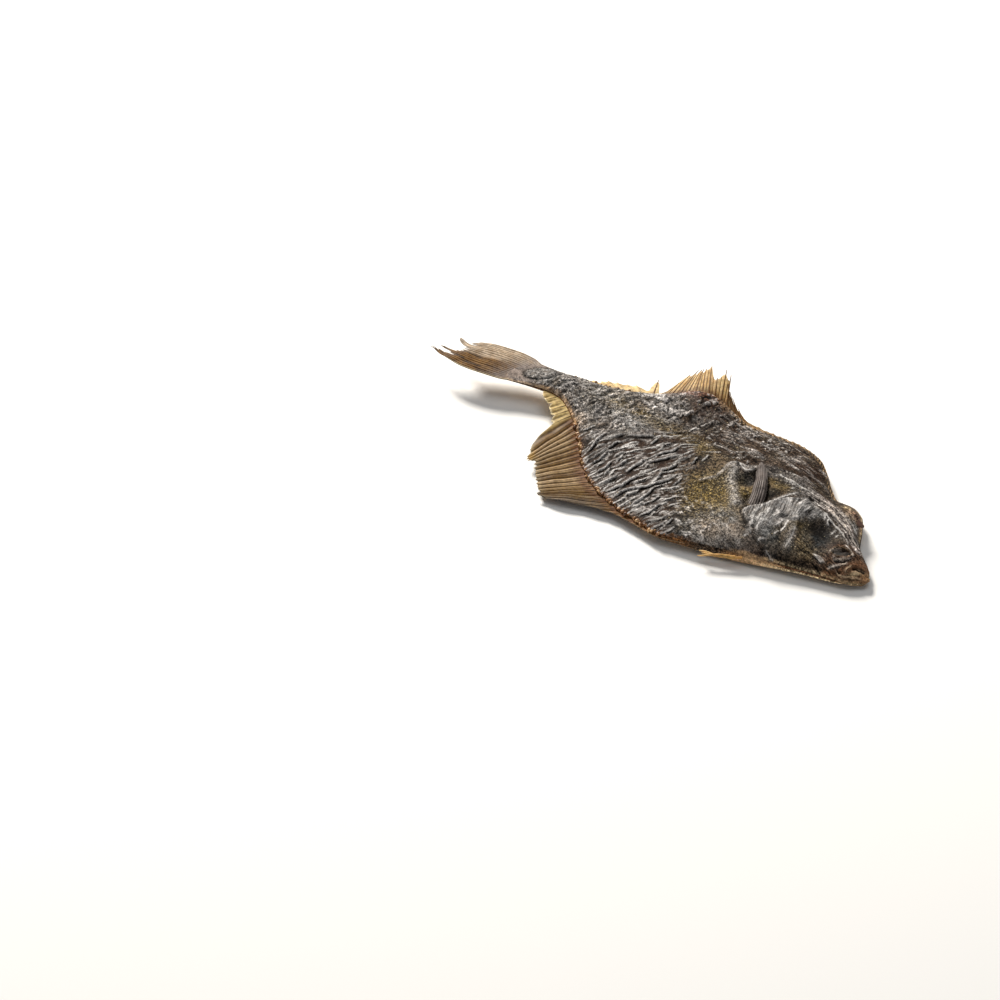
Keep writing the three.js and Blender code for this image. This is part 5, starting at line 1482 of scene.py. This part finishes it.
prickles = grow("prickles", body, prickleTree(clouded("driedScale", prickleLook), prickleMake), prickleMake["sizes"])
finish(prickles, "dried_skin")
print("prickles", len(prickles.data.polygons), "faces")

# side fin: a strap of dry rays laid across the flank behind the gill cover
sideMake = {
    "root": (47.0, -9.6), "bend": (50.6, 1.2), "tip": (61.6, 11.2), "rays": 7, "perRay": 8, "rows": 30,
    "rootHalf": 2.9, "tipHalf": 1.6, "sunk": 1.0, "risen": 1.6, "thick": 0.2, "rayThick": 0.2, "taper": 0.4,
    "ridge": 0.45, "arch": 0.9, "wornSeed": 84,
}


def skinAt(s, y):  # level of the eyed side's skin
    s, y = np.asarray(s, float), np.asarray(y, float)
    back, belly = backEdge(s), bellyEdge(s)
    v = np.clip((y - (back - belly) / 2) / ((back + belly) / 2), -1, 1)
    rimTop = bodyMake["rimTop"]
    return crown(s) * (rimTop + (1 - rimTop) * domed(v)) + eyedRelief(s, y)[0] + lie(s, y)


def sidePoint(v, r):  # v across from -1 to 1, r along
    root, bend, tip = (np.array(sideMake[k]) for k in ("root", "bend", "tip"))
    r = r * (1 - 0.09 * v * v * smooth(r, 0.5, 1))
    path = [(1 - r) ** 2 * root[k] + 2 * r * (1 - r) * bend[k] + r * r * tip[k] for k in (0, 1)]
    ds, dy = (2 * (1 - r) * (bend[k] - root[k]) + 2 * r * (tip[k] - bend[k]) for k in (0, 1))
    long = np.hypot(ds, dy)
    aside = v * (sideMake["rootHalf"] + (sideMake["tipHalf"] - sideMake["rootHalf"]) * r)
    s, y = path[0] + aside * dy / long, path[1] - aside * ds / long
    level = np.maximum(crown(s) * 0.94 + lie(s, y) - 1.1 * bell(s, 60, 5), skinAt(s, y))
    return s, y, level - sideMake["sunk"] + (sideMake["sunk"] + sideMake["risen"]) * smooth(r, 0, 0.7)


sideWeb = finMaterial("drySideFin", "#4a3f3a", "#2e2521", [
    ("groove", "#140e0b", 0.9, 1.2), ("ray", "#857a74", 0.8, 1.2)], 0.06)
v = np.linspace(-1, 1, sideMake["perRay"] * (sideMake["rays"] - 1) + 1)[None, :]
r = np.linspace(0, 1, sideMake["rows"])[:, None]
s, y, z = sidePoint(v, r)
ray = (v + 1) / 2 * (sideMake["rays"] - 1)
near = 1 - 2 * np.abs(ray - np.round(ray))
crest = 1 - (1 - near) ** 2.2
z = z + sideMake["ridge"] * (crest - 0.5) + sideMake["arch"] * (1 - v**2) * smooth(r, 0, 0.3)
# each ray is lighter or darker along its length
wearAndLight = 0.5 + 0.9 * noise(1.7 * np.round(ray) + 0 * r, 3 * r + 0 * v, sideMake["wornSeed"])
marks = {"ray": (crest**3 * wearAndLight).clip(0, 1), "groove": (1 - smooth(near, 0.1, 0.55)) * (1.2 - wearAndLight).clip(0.3, 1)}
half = (sideMake["thick"] + sideMake["rayThick"] * crest) * (1 - sideMake["taper"] * r) * mm
finish(sheetPiece("sideFin", place(s, y, z), half, marks, sideWeb), "dried_fin")

# throat fin: loose golden fibres under the belly's front edge
throatMake = {
    "strands": [  # path in s and y, and radius
        ([(38, -26.4), (41, -28.9), (44.6, -31.2), (49.2, -33)], 0.7),
        ([(39.6, -27.6), (43.2, -30.6), (45.6, -33), (47.6, -35.6)], 0.6),
        ([(41, -28.6), (44.2, -31), (47.6, -33.4)], 0.5),
        ([(36, -25), (39.4, -27.8), (42.6, -30.6)], 0.45),
    ],
    "level": 4.2, "steps": 18,
    "sizes": {"Sides": 6, "Thickness": 1.0},
}
fibreLook = finMaterial("dryThroatFibre", "#e0b468", "#b98443", [("tip", "#f0d49c", 0.7, 0)], 0.3)
t = np.linspace(0, 1, throatMake["steps"])
paths = []
for k, (path, thick) in enumerate(throatMake["strands"]):
    s, y = (np.interp(t, np.linspace(0, 1, len(path)), [point[axis] for point in path]) for axis in (0, 1))
    s, y = s + 0.25 * noise(4 * t + k, 0 * t, 81), y + 0.25 * noise(4 * t + k, 0 * t + 5, 82)
    z = throatMake["level"] + 0.5 * noise(3 * t + k, 0 * t, 83)
    paths.append((place(s, y, z), thick * (1 - 0.7 * t**1.5) * mm, t, 0.0))
throatFin = growPaths("throatFin", paths, rayTree(fibreLook, throatMake["sizes"]), throatMake["sizes"])
finish(throatFin, "dried_fin")

# eyes: shrunken balls, dark and a little glossy, in their sockets
eyeMake = {
    "rings": 17, "sides": 32, "fill": 0.98,  # share of the socket that a ball fills
    "eyes": ((lowerEye, 0.4, 0.15, 0.0), (upperEye, 0.3, 0.35, 0.85)),  # socket, height, how far sunk, how brown
}
eyeLook = {  # clouded jelly dried to a dull skin, browned where the lid has shrunk over it
    "cloud": 1.4, "detail": 4.0, "tones": [(0.38, "#171310"), (0.7, "#463b33")],
    "layers": [("browned", "#6d5246", 1.0, 0)], "roughness": 0.6, "specular": 0.2,
    "relief": 0.4, "reliefStrength": 0.8,  # relief in millimetres
}
points, faces, browned = [], [], []
for eye, high, sunk, brown in eyeMake["eyes"]:
    tilt = np.linspace(0, np.pi, eyeMake["rings"])[1:-1, None]
    around = np.linspace(0, 2 * np.pi, eyeMake["sides"], endpoint=False)[None, :]
    ball = np.stack([np.sin(tilt) * np.cos(around), np.sin(tilt) * np.sin(around), np.cos(tilt) + 0 * around], -1)
    ball = np.concatenate([ball.reshape(-1, 3), [[0, 0, 1], [0, 0, -1]]])
    ball *= (1 + 0.1 * rough(3 * ball[:, 0] + 7, 3 * ball[:, 1] + ball[:, 2], 91, 2))[:, None]
    a, (middleS, middleY) = math.radians(-eye["turned"]), eye["middle"]
    long, wide = ball[:, 0] * eye["long"] * eyeMake["fill"], ball[:, 1] * eye["wide"] * eyeMake["fill"]
    ds, dy = long * math.cos(a) - wide * math.sin(a), long * math.sin(a) + wide * math.cos(a)
    level = skinAt(middleS + 0.5 * ds, middleY + 0.5 * dy) - sunk
    start = len(browned)
    points.append(place(middleS + ds, middleY + dy, level + ball[:, 2] * high))
    browned += [brown] * len(ball)
    grid = start + np.arange(len(ball) - 2).reshape(len(tilt), -1)
    ahead = np.roll(grid, -1, axis=1)
    faces += np.stack([grid[:-1], ahead[:-1], ahead[1:], grid[1:]], -1).reshape(-1, 4).tolist()
    top, bottom = start + len(ball) - 2, start + len(ball) - 1
    faces += [[top, q, p] for p, q in zip(grid[0], ahead[0])]
    faces += [[bottom, p, q] for p, q in zip(grid[-1], ahead[-1])]
eyes = newPiece("eyes", np.concatenate(points), faces, {"browned": browned}, clouded("driedEye", eyeLook))
finish(eyes, "dried_eye")
print("side fin, throat fin and eyes built")

# floor, light and camera, in metres
studio = {
    "floor": "#f4f3f1", "floorRoughness": 0.9, "floorHalf": 4,
    "sky": "#f3f5f7", "skyStrength": 0.24,
    "lights": [  # name, place, size, power and tone
        ("keyBehind", (-0.95, 0.35, 0.75), 0.4, 30.0, "#fffaf2"),
        ("overhead", (0.1, 0.1, 1.3), 1.0, 3.0, "#ffffff"),
    ],
    "camera": (0.5636, -0.5930, 0.6197), "aim": (-0.0174, -0.0606, 0.0040), "lens": 100, "sensor": 36,
}
scene = bpy.context.scene
floorLook, tree = newMaterial("paleFloor")
surface = addNode(tree, "ShaderNodeBsdfPrincipled", {
    "Base Color": linear(studio["floor"]), "Roughness": studio["floorRoughness"]})
addNode(tree, "ShaderNodeOutputMaterial", {"Surface": surface.outputs["BSDF"]})
corners = [(x * studio["floorHalf"], y * studio["floorHalf"], 0) for x, y in ((-1, -1), (1, -1), (1, 1), (-1, 1))]
floor = newPiece("studioFloor", corners, [[0, 1, 2, 3]], {}, floorLook)
floor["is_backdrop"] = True

scene.world = bpy.data.worlds.new("softStudio")
scene.world.use_nodes = True
sky = scene.world.node_tree.nodes["Background"].inputs
sky["Color"].default_value, sky["Strength"].default_value = linear(studio["sky"]), studio["skyStrength"]
scene.view_settings.view_transform = "Standard"


def aimed(name, data, spot, aim):
    holder = bpy.data.objects.new(name, data)
    holder.location = spot
    holder.rotation_euler = (Vector(aim) - Vector(spot)).to_track_quat("-Z", "Y").to_euler()
    scene.collection.objects.link(holder)
    return holder


for name, spot, size, power, tone in studio["lights"]:
    lamp = bpy.data.lights.new(name, "AREA")
    lamp.shape, lamp.size, lamp.energy, lamp.color = "DISK", size, power, linear(tone)[:3]
    aimed(name, lamp, spot, (0, 0, 0))
lens = bpy.data.cameras.new("photoCamera")
lens.lens, lens.sensor_width = studio["lens"], studio["sensor"]
scene.camera = aimed("photoCamera", lens, studio["camera"], studio["aim"])
print("floor, light and camera placed")

low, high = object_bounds()
